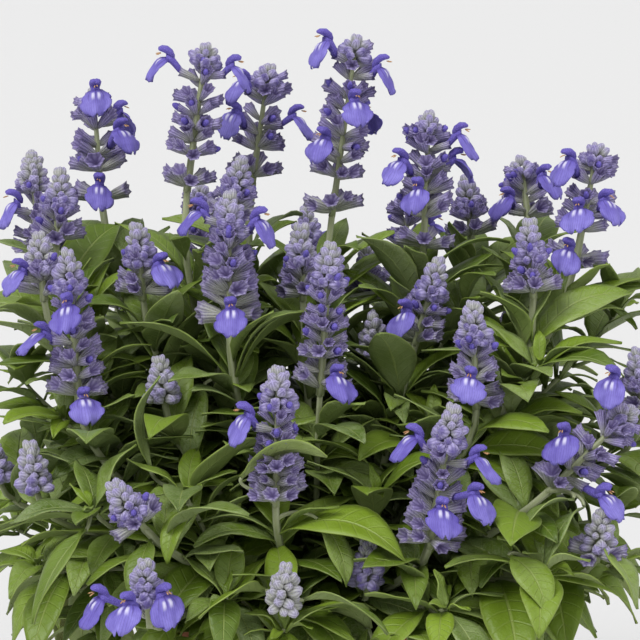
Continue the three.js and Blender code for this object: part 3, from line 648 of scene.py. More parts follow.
# Spikes in full bloom have open cups almost to the tip. Others are stouter, or have riper or younger buds

OLD_SPIKES = ("a", "d", "e", "h", "i", "k", "l", "u", "bb", "bd")
STOUTNESS = {"f2": 1.18, "r": 1.12, "i": 1.1, "a": 1.15, "e": 1.1, "l": 1.06, "h": 1.06, "c2": 1.08}
RIPENESS = {"ac": 0.0, "ad": 0.35, "y": 0.7, "z": 0.9, "x": 0.5, "w": 0.5, "v": 0.3, "t": 0.6, "aa": 0.8,
            "b1": 0.35, "c1": 0.4, "n": 0.4, "ae": 0.3}
CUP = {"seed": 41, "length": 10.8, "young_length": 7.6, "old_length": 9.2, "rim": 3.5, "young_rim": 2.3,
       "old_rim": 3.0, "least_rim": 0.86, "most_rim": 1.1, "off_line": 0.9, "high_over": 0.4,
       "high_filled": 0.4, "low_filled": 0.15, "old_tilt": 26}
INFILL = {"size": 0.94, "height_jitter": 2.4, "turn_jitter": 0.4, "tilt_jitter": 0.5, "tilt_middle": 0.4}
ADDED = {"least_gap": 6, "cups": 5, "low_tilt": 20, "high_tilt": 40, "old_top": 7, "young_top": 4,
         "least": 0.8, "height_jitter": 1.6, "turn_jitter": 0.3, "tilt_jitter": 0.4}
OLD_CROWN = ({"over_foot": 5.5, "cups": 6, "tilt": 14, "share": 0.8, "least": 0.8},
             {"over_foot": 8.5, "cups": 4, "tilt": 22, "share": 0.95, "least": 0.6})


class Cup:
    """One calyx: its root, direction, length, mouth radius and how far up its spike it sits."""

    def __init__(self, root, direction, length, rim, share, is_filled):
        self.root, self.direction, self.length, self.rim = root, direction, length, rim
        self.share, self.is_filled = share, is_filled


class Spike:
    """A flower spike: its line, the turn of its first whorl, its bloom seats and its cups."""

    def __init__(self, name, number, draw, random):
        self.axis, self.number, self.random = Axis(name), number, random
        self.turn = draw() * math.pi
        self.seats, self.cups = bloom_seats(self.axis), []
        self.is_old, self.is_bare = name in OLD_SPIKES, self.axis.length < HEAD["bare_under"]
        self.head_foot = self.axis.length - HEAD["height"]
        if not self.is_bare:
            self.lay_out(draw)

    def shifted(self, span, middle=0.5):
        """A seeded shift within a span, as much to either side unless its middle is moved."""
        return (self.random() - middle) * span

    def add(self, height, angle, tilt, size, share):
        """Adds a cup, unless a bloom's own cup is in its place."""
        direction = self.axis.out(angle, tilt)
        for at, seat, _ in self.seats:
            if seat @ direction > BLOOM["room"] and abs(at - height) < BLOOM["room_height"]:
                return
        age = "old" if self.is_old else "young"
        size *= STOUTNESS.get(self.axis.name, 1)
        length = between(CUP["length"], CUP[f"{age}_length"], share) * size
        rim = between(CUP["rim"], CUP[f"{age}_rim"], share) * size
        rim *= between(CUP["least_rim"], CUP["most_rim"], self.random())
        is_filled = self.random() < CUP["high_filled" if share > CUP["high_over"] else "low_filled"]
        root = self.axis.at(height) + direction * CUP["off_line"]
        self.cups.append(Cup(root, direction, length, rim, share, is_filled))

    def add_solids_whorl(self, whorl, whorls, height, draw):
        """A whorl of the solids' cups, with as many again between them."""
        share = whorl / whorls
        count = SPIKE["top_cups"] if whorl == whorls - 1 else SPIKE["cups"]
        high_tilt = CUP["old_tilt"] if self.is_old else SPIKE["high_tilt"]
        rising = math.radians(between(SPIKE["low_tilt"], high_tilt, share))
        for n in range(count):
            angle = self.turn + (n + (whorl % 2) / 2) / count * 2 * math.pi + (draw() - 0.5) * SPIKE["jitter"]
            tilt = rising + (draw() - 0.5) * SPIKE["jitter"]
            size = between(SPIKE["smallest"], SPIKE["largest"], draw())
            self.add(height, angle, tilt, size, share)
            self.add(height + self.shifted(INFILL["height_jitter"]),
                     angle + math.pi / count + self.shifted(INFILL["turn_jitter"]),
                     tilt + self.shifted(INFILL["tilt_jitter"], INFILL["tilt_middle"]),
                     size * INFILL["size"], share)

    def add_whorl(self, height, count, tilt, share, least):
        """A whorl that only the scene has."""
        first = self.random() * math.pi
        for n in range(count):
            self.add(height + self.shifted(ADDED["height_jitter"]),
                     first + n * 2 * math.pi / count + self.shifted(ADDED["turn_jitter"]),
                     math.radians(tilt) + self.shifted(ADDED["tilt_jitter"]),
                     between(least, 1, self.random()), share)

    def lay_out(self, draw):
        """The solids' whorls, whorls in the gaps between them, and a crown of cups on an old spike."""
        whorls = max(1, math.floor(self.head_foot / SPIKE["spacing"] + 0.5) + 1)
        heights = [between(SPIKE["first_whorl"], self.head_foot + HEAD["over_whorl"],
                           (whorl / whorls) ** SPIKE["crowding"]) for whorl in range(whorls)]
        for whorl, height in enumerate(heights):
            self.add_solids_whorl(whorl, whorls, height, draw)
        heights.append(self.head_foot + ADDED["old_top" if self.is_old else "young_top"])
        for whorl, (low, high) in enumerate(zip(heights, heights[1:])):
            share = (whorl + 0.5) / whorls
            if high - low > ADDED["least_gap"] and not (self.is_old and whorl == 0):
                tilt = between(ADDED["low_tilt"], ADDED["high_tilt"], share)
                self.add_whorl((low + high) / 2, ADDED["cups"], tilt, share, ADDED["least"])
        for ring in OLD_CROWN if self.is_old else ():
            self.add_whorl(self.head_foot + ring["over_foot"], ring["cups"], ring["tilt"], ring["share"],
                           ring["least"])


@functools.cache
def spikes():
    """Every spike, in the order of the solids."""
    draw, random = draws_from(SPIKE["seed"]), draws_from(CUP["seed"])
    stem_of = {name: number for number, (names, _) in STEMS.items() for name in names}
    return [Spike(name, stem_of[name], draw, random) for name in SPIKES]


# Small meshes that are copied many times

MARKS = ("across", "along", "tint")
NEARLY_UPRIGHT = 0.05


class Template:
    """A small mesh with marks on its corners. Each copy is placed and tinted on its own."""

    def __init__(self, bm, mark):
        layers = [bm.verts.layers.float.new(name) for name in MARKS]
        for vert in bm.verts:
            for layer, value in zip(layers, mark(vert.co)):
                vert[layer] = value
        for face in bm.faces:
            face.smooth = True
        self.mesh = bpy.data.meshes.new("template")
        bm.to_mesh(self.mesh)
        bm.free()
        count = len(self.mesh.vertices)
        places = np.empty(count * 3, np.float32)
        self.mesh.vertices.foreach_get("co", places)
        self.places = places.reshape(count, 3).astype(float)
        self.across, self.along = (self.read(name) for name in MARKS[:2])

    def read(self, name):
        values = np.empty(len(self.mesh.vertices), np.float32)
        self.mesh.attributes[name].data.foreach_get("value", values)
        return values.astype(float)

    def copy_into(self, bm, places, tint, material=0):
        self.mesh.vertices.foreach_set("co", np.ascontiguousarray(places, np.float32).ravel())
        self.mesh.attributes["tint"].data.foreach_set("value", np.full(len(places), tint, np.float32))
        self.mesh.polygons.foreach_set("material_index", np.full(len(self.mesh.polygons), material, np.int32))
        bm.from_mesh(self.mesh)

    def swept(self, bm, path, foot, tip, tint, flat=1.0, material=0):
        """A copy laid along a path by its marks, tapering from one half width to the other."""
        chord = path.handles[-1] - path.handles[0]
        level = np.cross(chord, UP)
        is_upright = np.linalg.norm(level) <= NEARLY_UPRIGHT * np.linalg.norm(chord)
        reference = np.array([1.0, 0, 0]) if is_upright else unit(level)
        places = np.empty_like(self.places)
        for share in np.unique(np.round(self.along, 4)):
            ring = np.abs(self.along - share) < 1e-3
            direction = path.direction(share)
            side = unit(reference - direction * (reference @ direction))
            over = np.cross(direction, side)
            half = between(foot, tip, share)
            places[ring] = (path.at(share) + np.outer(self.places[ring, 0] * half, side)
                            + np.outer(self.places[ring, 1] * half * flat, over))
        self.copy_into(bm, places, tint, material)

    def stand_in(self, bm, root, direction, scale, tint, twist=0.0, material=0):
        """A copy whose own Z points along a direction, scaled by x, y and z."""
        cosine, sine = math.cos(twist), math.sin(twist)
        x, y, z = (self.places * scale).T
        side = unit(np.cross(UP, direction)) if abs(direction[2]) < 0.999 else np.array([1.0, 0, 0])
        over = np.cross(direction, side)
        places = (root + np.outer(x * cosine - y * sine, side) + np.outer(x * sine + y * cosine, over)
                  + np.outer(z, direction))
        self.copy_into(bm, places, tint, material)


def spun(profile, steps):
    """A mesh turned about Z from a profile of radius and height."""
    bm = bmesh.new()
    corners = [bm.verts.new((radius, 0, height)) for radius, height in profile]
    edges = [bm.edges.new(pair) for pair in zip(corners, corners[1:])]
    bmesh.ops.spin(bm, geom=corners + edges, cent=(0, 0, 0), axis=(0, 0, 1), angle=2 * math.pi, steps=steps,
                   use_merge=True, use_duplicate=False)
    bmesh.ops.remove_doubles(bm, verts=bm.verts, dist=1e-4)
    bmesh.ops.recalc_face_normals(bm, faces=bm.faces)
    return bm


def blade_template(across=6, along=12):
    bm = bmesh.new()
    bmesh.ops.create_grid(bm, x_segments=across, y_segments=along, size=1)
    return Template(bm, lambda co: (-co.x, (co.y + 1) / 2, 0))


TUBE = {"corner": 1.16, "flat": 0.93, "corner_over": 0.2}


def tube_template(sides=8, cuts=12):
    """A rod from 0 to 1 along Z whose section is a square with rounded corners."""
    bm = bmesh.new()
    bmesh.ops.create_cone(bm, cap_ends=True, segments=sides, radius1=1, radius2=1, depth=1)
    bmesh.ops.translate(bm, verts=bm.verts, vec=(0, 0, 0.5))
    uprights = [edge for edge in bm.edges if abs(edge.verts[0].co.z - edge.verts[1].co.z) > 0.5]
    bmesh.ops.subdivide_edges(bm, edges=uprights, cuts=cuts, use_grid_fill=True)

    def is_corner(co):
        return abs(co.x * co.y) > TUBE["corner_over"]

    for vert in bm.verts:
        share = TUBE["corner"] if is_corner(vert.co) else TUBE["flat"]
        vert.co.xy *= share
    return Template(bm, lambda co: (int(is_corner(co)), co.z, 0))


def ribbed(bm, ribs, height=0.08, squash=1.0, tooth=0.03):
    """Raises ribs along Z on a spun mesh, and flattens and slants its mouth."""
    for vert in bm.verts:
        angle = math.atan2(vert.co.y, vert.co.x)
        ridge = math.cos(angle * ribs) if 0.05 < vert.co.z < 1.2 else 0
        opened = clamp((vert.co.z - 0.5) / 0.4)
        vert.co.x *= 1 + ridge * height
        vert.co.y *= (1 + ridge * height) * between(1, squash, opened)
        vert.co.z += opened * (tooth * ridge + 0.06 * math.sin(angle) * (squash < 1))


def rib_marks(ribs, hollow=None):
    def mark(co):
        # A cup's inner floor is marked past the mouth, so that the cup finish paints shade into the hollow.
        if hollow is not None and abs(co.z - hollow) < 0.05 and co.xy.length < 0.1:
            return 0, 1.6, 0
        return 0.5 + 0.5 * math.cos(math.atan2(co.y, co.x) * ribs), co.z, 0
    return mark


def cup_template(ribs=6):
    """A ribbed funnel with an open mouth, of length 1 and mouth radius 1."""
    bm = spun([(0, 0), (0.22, 0.03), (0.38, 0.2), (0.56, 0.5), (0.78, 0.82), (1, 1), (0.84, 0.95), (0, 0.55)],
              ribs * 2)
    ribbed(bm, ribs, 0.1, 0.74)
    return Template(bm, rib_marks(ribs, 0.55))


def bud_template(ribs=4):
    """A closed, ribbed bud of length 1 and radius 1."""
    bm = spun([(0, 0), (0.6, 0.1), (0.96, 0.36), (0.98, 0.62), (0.66, 0.88), (0, 1)], ribs * 2)
    ribbed(bm, ribs, 0.08, tooth=0)
    return Template(bm, rib_marks(ribs))


def bead_template(sides=7, rings=5):
    """A round bead of radius 1 with its foot at the origin."""
    bm = bmesh.new()
    bmesh.ops.create_uvsphere(bm, u_segments=sides, v_segments=rings, radius=1)
    bmesh.ops.translate(bm, verts=bm.verts, vec=(0, 0, 1))
    return Template(bm, lambda co: (0, co.z / 2, 0))


# Finishes

class Value:
    """A number that differs over a surface. Python's operators add Math nodes."""

    def __init__(self, finish, socket):
        self.finish, self.socket = finish, socket

    def math(self, operation, *others, clamped=False):
        return self.finish.node("ShaderNodeMath", {"operation": operation, "use_clamp": clamped},
                                dict(enumerate((self, *others))))

    def __add__(self, other):
        return self.math("ADD", other)

    def __radd__(self, other):
        return self.math("ADD", other)

    def __sub__(self, other):
        return self.math("SUBTRACT", other)

    def __mul__(self, other):
        return self.math("MULTIPLY", other)

    def __rmul__(self, other):
        return self.math("MULTIPLY", other)

    def __truediv__(self, other):
        return self.math("DIVIDE", other)

    def __pow__(self, other):
        return self.math("POWER", other)

    def __abs__(self):
        return self.math("ABSOLUTE")

    def __rsub__(self, other):
        return (self * -1).math("ADD", other)

    def fraction(self):
        return self.math("FRACT")

    def smooth(self, low, high):
        """0 at low, 1 at high, with soft ends."""
        return self.finish.node("ShaderNodeMapRange", {"interpolation_type": "SMOOTHSTEP"},
                                {"Value": self, "From Min": low, "From Max": high})


class Finish:
    """A material and its nodes."""

    def __init__(self, name):
        self.material = bpy.data.materials.new(name)
        self.material.use_nodes = True
        self.tree = self.material.node_tree
        self.tree.nodes.clear()
        self.place = self.node("ShaderNodeTexCoord", output="Object")

    def node(self, kind, settings=None, inputs=None, output=0):
        """Adds a node with its settings, then its sockets' values or links. Gives one of its outputs."""
        node = self.tree.nodes.new(kind)
        for name, value in (settings or {}).items():
            setattr(node, name, value)
        for name, value in (inputs or {}).items():
            if isinstance(value, Value):
                self.tree.links.new(value.socket, node.inputs[name])
            else:
                node.inputs[name].default_value = value
        return Value(self, node.outputs[output]) if node.outputs else node

    def mark(self, name):
        return self.node("ShaderNodeAttribute", {"attribute_name": name}, output="Fac")

    def noise(self, scale, detail=3.0, rough=0.55, stretch=None):
        place = self.place
        if stretch:
            place = self.node("ShaderNodeMapping", inputs={"Vector": place, "Scale": stretch})
        return self.node("ShaderNodeTexNoise", inputs={"Vector": place, "Scale": scale, "Detail": detail,
                                                       "Roughness": rough}, output="Fac")

    def cells(self, scale, feature="F1"):
        return self.node("ShaderNodeTexVoronoi", {"feature": feature},
                         {"Vector": self.place, "Scale": scale}, output="Distance")

    def mixed(self, factor, low, high):
        """A colour between two colours."""
        return self.node("ShaderNodeMix", {"data_type": "RGBA"}, {0: factor, 6: low, 7: high}, output=2)

    def shade(self, colour, roughness, height=None, bump=0.0, depth=0.0005, **constants):
        """Ends the material in one shader. The constants are set on its own sockets."""
        inputs = {"Base Color": colour, "Roughness": roughness, **constants}
        if height:
            inputs["Normal"] = self.node("ShaderNodeBump", inputs={
                "Height": height, "Strength": bump, "Distance": depth})
        shader = self.node("ShaderNodeBsdfPrincipled", inputs={
            key.replace("_", " "): value for key, value in inputs.items()})
        self.node("ShaderNodeOutputMaterial", inputs={"Surface": shader})
        return self.material


def colour(rgb):
    return (*rgb, 1.0)


def leaf_finish(name, looks, is_under):
    finish = Finish(name)
    across, along, tint = (finish.mark(mark) for mark in MARKS)
    side = abs(across)
    swept = along - side * 0.13
    veins = (abs((swept * looks.side_veins).fraction() - 0.5) * 2).smooth(0.78, 1.0)
    veins = veins * (1 - side.smooth(0.7, 0.98))
    midrib = 1 - side.smooth(0.02, 0.075)
    patches = finish.noise(90, 4)
    fine = finish.noise(1400, 3)
    deep, fresh = (looks.under_deep, looks.under_fresh) if is_under else (looks.deep, looks.fresh)
    blend = (tint * 0.8 + patches * 0.45 - 0.15).math("ADD", 0, clamped=True)
    base = finish.mixed(blend, colour(deep), colour(fresh))
    downy = (tint * 7.3).fraction().smooth(0.35, 0.95) * 0.3 + 0.04
    base = finish.mixed((fine * 0.5 + patches * 0.5).smooth(0.36, 0.62) * downy, base, colour(looks.down))
    base = finish.mixed(veins * 0.16, base, colour(looks.vein))
    base = finish.mixed(midrib * 0.5, base, colour(looks.vein))
    base = finish.mixed(side.smooth(0.9, 1.0) * 0.35, base, colour(looks.vein))
    sign = 1 if is_under else -1
    height = (veins * 0.6 + midrib) * sign + fine * 0.45 + finish.noise(420, 3) * 0.9
    rough = fine * 0.2 + (0.55 if is_under else 0.34)
    return finish.shade(base, rough, height, 0.65, 0.0005, Sheen_Weight=0.05, Sheen_Roughness=0.4,
                        Sheen_Tint=colour(looks.down), Specular_IOR_Level=0.5)


def stalk_finish(looks):
    finish = Finish("stalk_green")
    ridge = finish.mark("across")
    streaks = finish.noise(300, 3, stretch=(1, 1, 0.08))
    fine = finish.noise(2600, 2)
    base = finish.mixed(streaks, colour(looks.stalk_deep), colour(looks.stalk))
    base = finish.mixed(ridge * 0.45, base, colour(looks.stalk_ridge))
    base = finish.mixed(fine.smooth(0.5, 0.7) * 0.3, base, colour(looks.down))
    return finish.shade(base, 0.62, streaks * 0.6 + fine * 0.4, 0.4, 0.0003, Sheen_Weight=0.3,
                        Sheen_Roughness=0.5, Sheen_Tint=colour(looks.down))


def ribbed_finish(name, looks, foot, body, groove):
    """Mealy cups and buds: grey-green at the foot, violet further up, with pale downy ribs."""
    finish = Finish(name)
    rib, along, tint = (finish.mark(mark) for mark in MARKS)
    down = finish.noise(3200, 2)
    patches = finish.noise(420, 3)
    edges = abs(rib * 2 - 1) + patches * 0.5 - 0.25
    violet = (along * 0.95 + tint * 0.8 - 0.52).smooth(0.0, 0.8)
    base = finish.mixed(violet, colour(foot), colour(body))
    base = finish.mixed((1 - edges.smooth(0.1, 0.6)) * (along * 0.45 + 0.25), base, colour(groove))
    base = finish.mixed(edges.smooth(0.5, 1.0) * 0.45, base, colour(looks.rib))
    base = finish.mixed(down.smooth(0.5, 0.64) * 0.4, base, colour(looks.mealy))
    return finish, rib, along, tint, down, base


def cup_finish(looks):
    finish, rib, along, tint, down, base = ribbed_finish("cup_mealy_violet", looks, looks.cup_foot, looks.cup,
                                                         looks.cup_stripe_and_shade)
    base = finish.mixed(along.smooth(0.86, 1.0) * 0.45, base, colour(looks.cup_stripe_and_shade))
    # Painted shade: the inside of the cup, marked past the mouth, darkens towards its floor.
    base = finish.mixed(along.smooth(1.05, 1.4) * 0.9, base, colour(looks.cup_stripe_and_shade))
    return finish.shade(base, 0.9, abs(rib * 2 - 1) * 0.9 + down * 0.5, 0.8, 0.0005, Sheen_Weight=0.45,
                        Sheen_Roughness=0.5, Sheen_Tint=colour(looks.mealy))


def bud_finish(looks):
    finish, rib, along, tint, down, base = ribbed_finish("bud_woolly", looks, looks.bud_foot, looks.bud,
                                                         looks.bud_deep)
    tip = along.smooth(0.72, 0.98) * tint.smooth(0.35, 0.8)
    base = finish.mixed(tip * 0.8, base, colour(looks.petal_deep))
    return finish.shade(base, 0.95, rib * 0.6 + down * 0.6, 0.8, 0.0005, Sheen_Weight=0.5,
                        Sheen_Roughness=0.6, Sheen_Tint=colour(looks.mealy))


def petal_finish(looks):
    """Violet-blue lower lips with two white streaks by the throat and dark lines beside them."""
    finish = Finish("petal_violet_blue")
    across, along, tint = (finish.mark(mark) for mark in MARKS)
    side = abs(across)
    fine, clouds = finish.noise(900, 3), finish.noise(260, 3)
    veins = (abs((across * 8 + clouds * 1.4).fraction() - 0.5) * 2).smooth(0.7, 1.0)
    base = finish.mixed((along * 0.3 + tint * 0.3 + clouds * 0.9 - 0.35).smooth(0, 1), colour(looks.petal),
                        colour(looks.petal_light))
    base = finish.mixed(veins * 0.38, base, colour(looks.petal_deep))
    base = finish.mixed((1 - along.smooth(0.0, 0.14)) * 0.6, base, colour(looks.petal_deep))
    streak = (1 - abs(side - 0.2).smooth(0.03, 0.15)) * along.smooth(0.14, 0.24)
    streak = streak * (1 - along.smooth(0.3, 0.46))
    lines = (1 - side.smooth(0.03, 0.08)) + (1 - abs(side - 0.5).smooth(0.02, 0.06))
    base = finish.mixed(lines * (1 - along.smooth(0.25, 0.5)) * 0.6, base, colour(looks.petal_deep))
    base = finish.mixed(streak * 0.78, base, colour(looks.streak))
    return finish.shade(base, 0.6, fine * 0.5 + veins * 0.5, 0.4, 0.0004, Sheen_Weight=0.3,
                        Sheen_Roughness=0.4, Sheen_Tint=colour(looks.petal_light))


def hood_finish(looks):
    finish = Finish("hood_downy_violet")
    _, along, tint = (finish.mark(mark) for mark in MARKS)
    down = finish.noise(2600, 2)
    base = finish.mixed(along * 0.5 + tint * 0.3 + 0.25, colour(looks.petal_deep), colour(looks.petal))
    base = finish.mixed(down.smooth(0.48, 0.62) * 0.45, base, colour(looks.petal_light))
    return finish.shade(base, 0.8, down, 0.6, 0.0005, Sheen_Weight=0.5, Sheen_Roughness=0.5,
                        Sheen_Tint=colour(looks.petal_light))


def anther_finish(looks):
    finish = Finish("anther_orange")
    grain = finish.noise(2500, 3)
    base = finish.mixed(grain.smooth(0.4, 0.65), colour(looks.anther), colour(looks.anther_light))
    return finish.shade(base, 0.75, grain, 0.5, 0.0003)


def clay_finish(looks):
    """Unglazed clay with fine turning lines, darker speckles and a faint lime bloom."""
    finish = Finish("pot_clay")
    clouds = finish.noise(22, 5)
    grain = finish.noise(900, 4)
    lines = finish.noise(60, 2, stretch=(0.5, 0.5, 16))
    specks = finish.cells(520)
    base = finish.mixed(clouds.smooth(0.3, 0.7), colour(looks.clay_deep), colour(looks.clay))
    base = finish.mixed(finish.noise(38, 6, 0.7).smooth(0.56, 0.74) * 0.45, base, colour(looks.lime))
    base = finish.mixed((1 - specks.smooth(0.1, 0.24)) * 0.4, base, colour(looks.clay_deep))
    height = grain * 0.5 + lines * 0.8 - (1 - specks.smooth(0.1, 0.3)) * 0.6
    return finish.shade(base, grain * 0.14 + 0.78, height, 0.5, 0.0006)


def soil_finish(looks):
    finish = Finish("soil_peat")
    tint = finish.mark("tint")
    clods, grain = finish.noise(180, 5), finish.noise(1300, 4)
    # Painted shade: the clods that raise the bump get the darker peat colour in their hollows.
    base = finish.mixed(clods.smooth(0.3, 0.7), colour(looks.peat_hollow_shade), colour(looks.peat))
    base = finish.mixed(tint * 0.75, base, colour(looks.bark))
    return finish.shade(base, 0.96, clods + grain * 0.6, 0.9, 0.0015)


def perlite_finish(looks):
    finish = Finish("soil_perlite")
    grain = finish.noise(1800, 4)
    base = finish.mixed(grain, colour(looks.bark), colour(looks.perlite))
    return finish.shade(base, 0.95, grain, 0.8, 0.001)


# Finishing a piece

def finished(name, bm, materials, nodes=()):
    """Puts a mesh in the scene in metres, riding on the plant, in place of CAD nodes if any are named."""
    bmesh.ops.scale(bm, vec=(MM, MM, MM), verts=bm.verts)
    mesh = bpy.data.meshes.new(name)
    bm.to_mesh(mesh)
    bm.free()
    for material in materials:
        mesh.materials.append(material)
    piece = bpy.data.objects.new(name, mesh)
    bpy.context.scene.collection.objects.link(piece)
    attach(piece, "root")
    if nodes:
        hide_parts(*nodes)
    return piece


def thicken(piece, thickness, under=0):
    modifier = piece.modifiers.new("thickness", "SOLIDIFY")
    modifier.thickness = thickness
    modifier.offset = -1
    modifier.material_offset = under
    return piece


def stem_node(number):
    return f"leafy_stem_{number:02d}"


# Settings that a user would change

def size(name, text, value, low=0.0, high=1.0):
    return FloatProperty(name=name, description=text, default=value, min=low, max=high, subtype="DISTANCE",
                         unit="LENGTH", precision=4)


def shade(name, text, value):
    return FloatVectorProperty(name=name, description=text, default=value, min=0, max=1, size=3,
                               subtype="COLOR")


class SagePotLooks(bpy.types.PropertyGroup):
    rim_bevel: size("Rim bevel", "How far the pot's edges are rounded", 0.0011, 0.0001, 0.003)
    clay: shade("Clay", "Colour of the unglazed clay", (0.42, 0.15, 0.075))
    clay_deep: shade("Deep clay", "Colour of its darker clouds and specks", (0.25, 0.075, 0.035))
    lime: shade("Lime bloom", "Colour of the pale bloom on the clay", (0.55, 0.36, 0.27))
    peat: shade("Peat", "Colour of the potting mix", (0.045, 0.026, 0.015))
    # Painted shade: this darker colour is laid in the hollows of the soil's bump.
    peat_hollow_shade: shade("Peat in shade", "Colour in the hollows of the mix", (0.012, 0.007, 0.004))
    bark: shade("Bark", "Colour of the bark chips", (0.13, 0.065, 0.032))
    perlite: shade("Perlite", "Colour of the white grains", (0.75, 0.73, 0.68))


class SageLeafLooks(bpy.types.PropertyGroup):
    thickness: size("Thickness", "Thickness of a leaf blade", 0.00045, 0.0002, 0.002)
    side_veins: IntProperty(name="Side veins", description="Pairs of side veins on a leaf", default=9, min=3,
                            max=20)
    deep: shade("Deep green", "Upper side of the oldest leaves", (0.058, 0.108, 0.003))
    fresh: shade("Fresh green", "Upper side of the youngest leaves", (0.24, 0.36, 0.02))
    under_deep: shade("Deep underside", "Underside of the oldest leaves", (0.14, 0.20, 0.045))
    under_fresh: shade("Fresh underside", "Underside of the youngest leaves", (0.28, 0.36, 0.10))
    vein: shade("Veins", "Midrib, side veins and margin", (0.34, 0.41, 0.12))
    down: shade("Down", "Fine pale hairs on leaves and stalks", (0.46, 0.52, 0.34))
    stalk: shade("Stalk", "Pale grey-green of the stalks", (0.35, 0.39, 0.21))
    stalk_deep: shade("Stalk streaks", "Darker streaks down the stalks", (0.21, 0.24, 0.10))
    stalk_ridge: shade("Stalk ridges", "Pale corners of the stalks", (0.52, 0.55, 0.38))


class SageFlowerLooks(bpy.types.PropertyGroup):
    lip_width: size("Lip width", "Width of a bloom's lower lip", 0.0155, 0.008, 0.02)
    lip_length: size("Lip length", "Length of a bloom's lower lip", 0.0136, 0.008, 0.02)
    petal_thickness: size("Petal thickness", "Thickness of a lower lip", 0.0003, 0.0001, 0.001)
    petal: shade("Petals", "Violet-blue of the petals", (0.13, 0.095, 0.46))
    petal_light: shade("Light petals", "Palest parts of the petals", (0.29, 0.25, 0.74))
    petal_deep: shade("Deep petals", "Veins, throat and hood", (0.055, 0.03, 0.22))
    streak: shade("Streaks", "The two streaks by the throat", (0.80, 0.78, 0.95))
    anther: shade("Anthers", "Orange-brown of the anthers", (0.45, 0.20, 0.07))
    anther_light: shade("Pollen", "Light parts of the anthers", (0.72, 0.48, 0.24))
    cup: shade("Cups", "Grey-violet of the calyx mouths", (0.36, 0.30, 0.62))
    cup_foot: shade("Cup feet", "Grey-green of the calyx feet", (0.49, 0.52, 0.35))
    # Besides the stripes, this colour paints shade inside each cup, darkest at its floor.
    cup_stripe_and_shade: shade("Cup hollows", "Grooves and dark inside of the calyces", (0.12, 0.088, 0.24))
    rib: shade("Ribs", "Pale ribs of cups and buds", (0.60, 0.54, 0.82))
    mealy: shade("Meal", "Whitish down on cups and buds", (0.65, 0.63, 0.76))
    bud: shade("Buds", "Violet of the buds", (0.34, 0.29, 0.60))
    bud_deep: shade("Bud grooves", "Grooves of the buds", (0.15, 0.12, 0.26))
    bud_foot: shade("Bud feet", "Woolly grey-green of the youngest buds", (0.45, 0.48, 0.33))


class SageStageLooks(bpy.types.PropertyGroup):
    floor: shade("Floor", "Colour of the plain floor", (0.765, 0.765, 0.765))
    floor_shade: shade("Floor clouds", "Colour of its faint clouds", (0.74, 0.74, 0.74))
    light: FloatProperty(name="Key light", description="Strength of the soft key light", default=2.0, min=0,
                         max=20)
    sky: FloatProperty(name="Sky", description="Strength of the even light from all round", default=0.5,
                       min=0, max=5)
    distance: size("Camera distance", "Distance from the camera to the plant's middle", 0.95, 0.3, 5)
    pitch: FloatProperty(name="Camera pitch", description="How far the camera looks down",
                         default=math.radians(9), min=0, max=1.5, subtype="ANGLE", unit="ROTATION")
    view_width: size("View width", "Width of the view at the plant's middle", 0.267, 0.05, 2)
    target_height: size("Target height", "Height that the camera looks at", 0.238, 0, 1)


# Operators

CRUMB = {"seed": 63, "count": 520, "every_grain": 11, "grain": (0.7, 1.3), "chip": (0.7, 2.6),
         "stretch": (1, 2.6), "flat": 0.7, "raised": 0.3, "off_wall": 3, "skin": 0.5, "unevenness": 1.7}
STALK = {"root_flare": 1.25, "fork_flare": 1.05, "spike_end": 0.95, "leafy_end": 0.7, "low_end": 0.6,
         "head_share": 0.6, "lap": 0.5, "spike_foot": 1.5, "spike_tip": 0.85}


class SAGE_OT_pot(bpy.types.Operator):
    """Make the clay pot with its rim band and drain holes"""
    bl_idname = "sage.pot"
    bl_label = "Clay pot"

    def execute(self, context):
        looks = context.scene.sage_pot
        band_foot = POT["height"] - POT["band"]

        def outer(height):
            return between(POT["base"], POT["top"] - POT["proud"], height / POT["height"])

        bm = spun([(0, 0), (POT["base"], 0), (outer(band_foot), band_foot),
                   (outer(band_foot) + POT["proud"], band_foot), (POT["top"], POT["height"]),
                   (outer(POT["height"]) - POT["wall"], POT["height"]),
                   (outer(POT["floor"]) - POT["wall"], POT["floor"]), (0, POT["floor"])], 96)
        rings = [edge for edge in bm.edges if abs(edge.verts[0].co.z - edge.verts[1].co.z) < 1e-4
                 and abs(edge.verts[0].co.xy.length - edge.verts[1].co.xy.length) < 1e-3
                 and edge.verts[0].co.xy.length > 1]
        bmesh.ops.bevel(bm, geom=rings, offset=looks.rim_bevel / MM, segments=3, profile=0.5,
                        affect="EDGES", material=-1)
        for face in bm.faces:
            face.smooth = True
        pot = finished("clay_pot", bm, [clay_finish(looks)], ["pot"])
        self.drill(pot)
        return {"FINISHED"}

    def drill(self, pot):
        """Cuts the drain holes and keeps the result as the pot's own mesh."""
        bm = bmesh.new()
        for hole in range(POT["drains"]):
            angle = hole / POT["drains"] * 2 * math.pi
            place = Vector((math.cos(angle), math.sin(angle), 0)) * POT["drain_circle"] * MM
            bmesh.ops.create_cone(bm, cap_ends=True, segments=32, radius1=POT["drain_radius"] * MM,
                                  radius2=POT["drain_radius"] * MM, depth=POT["floor"] * 4 * MM,
                                  matrix=Matrix.Translation(place))
        mesh = bpy.data.meshes.new("drains")
        bm.to_mesh(mesh)
        bm.free()
        drains = bpy.data.objects.new("drains", mesh)
        bpy.context.scene.collection.objects.link(drains)
        modifier = pot.modifiers.new("drains", "BOOLEAN")
        modifier.object, modifier.operation, modifier.solver = drains, "DIFFERENCE", "EXACT"
        cut = bpy.data.meshes.new_from_object(pot.evaluated_get(bpy.context.evaluated_depsgraph_get()))
        pot.modifiers.clear()
        pot.data = cut
        cut.set_sharp_from_angle(angle=math.radians(40))
        bpy.data.objects.remove(drains)


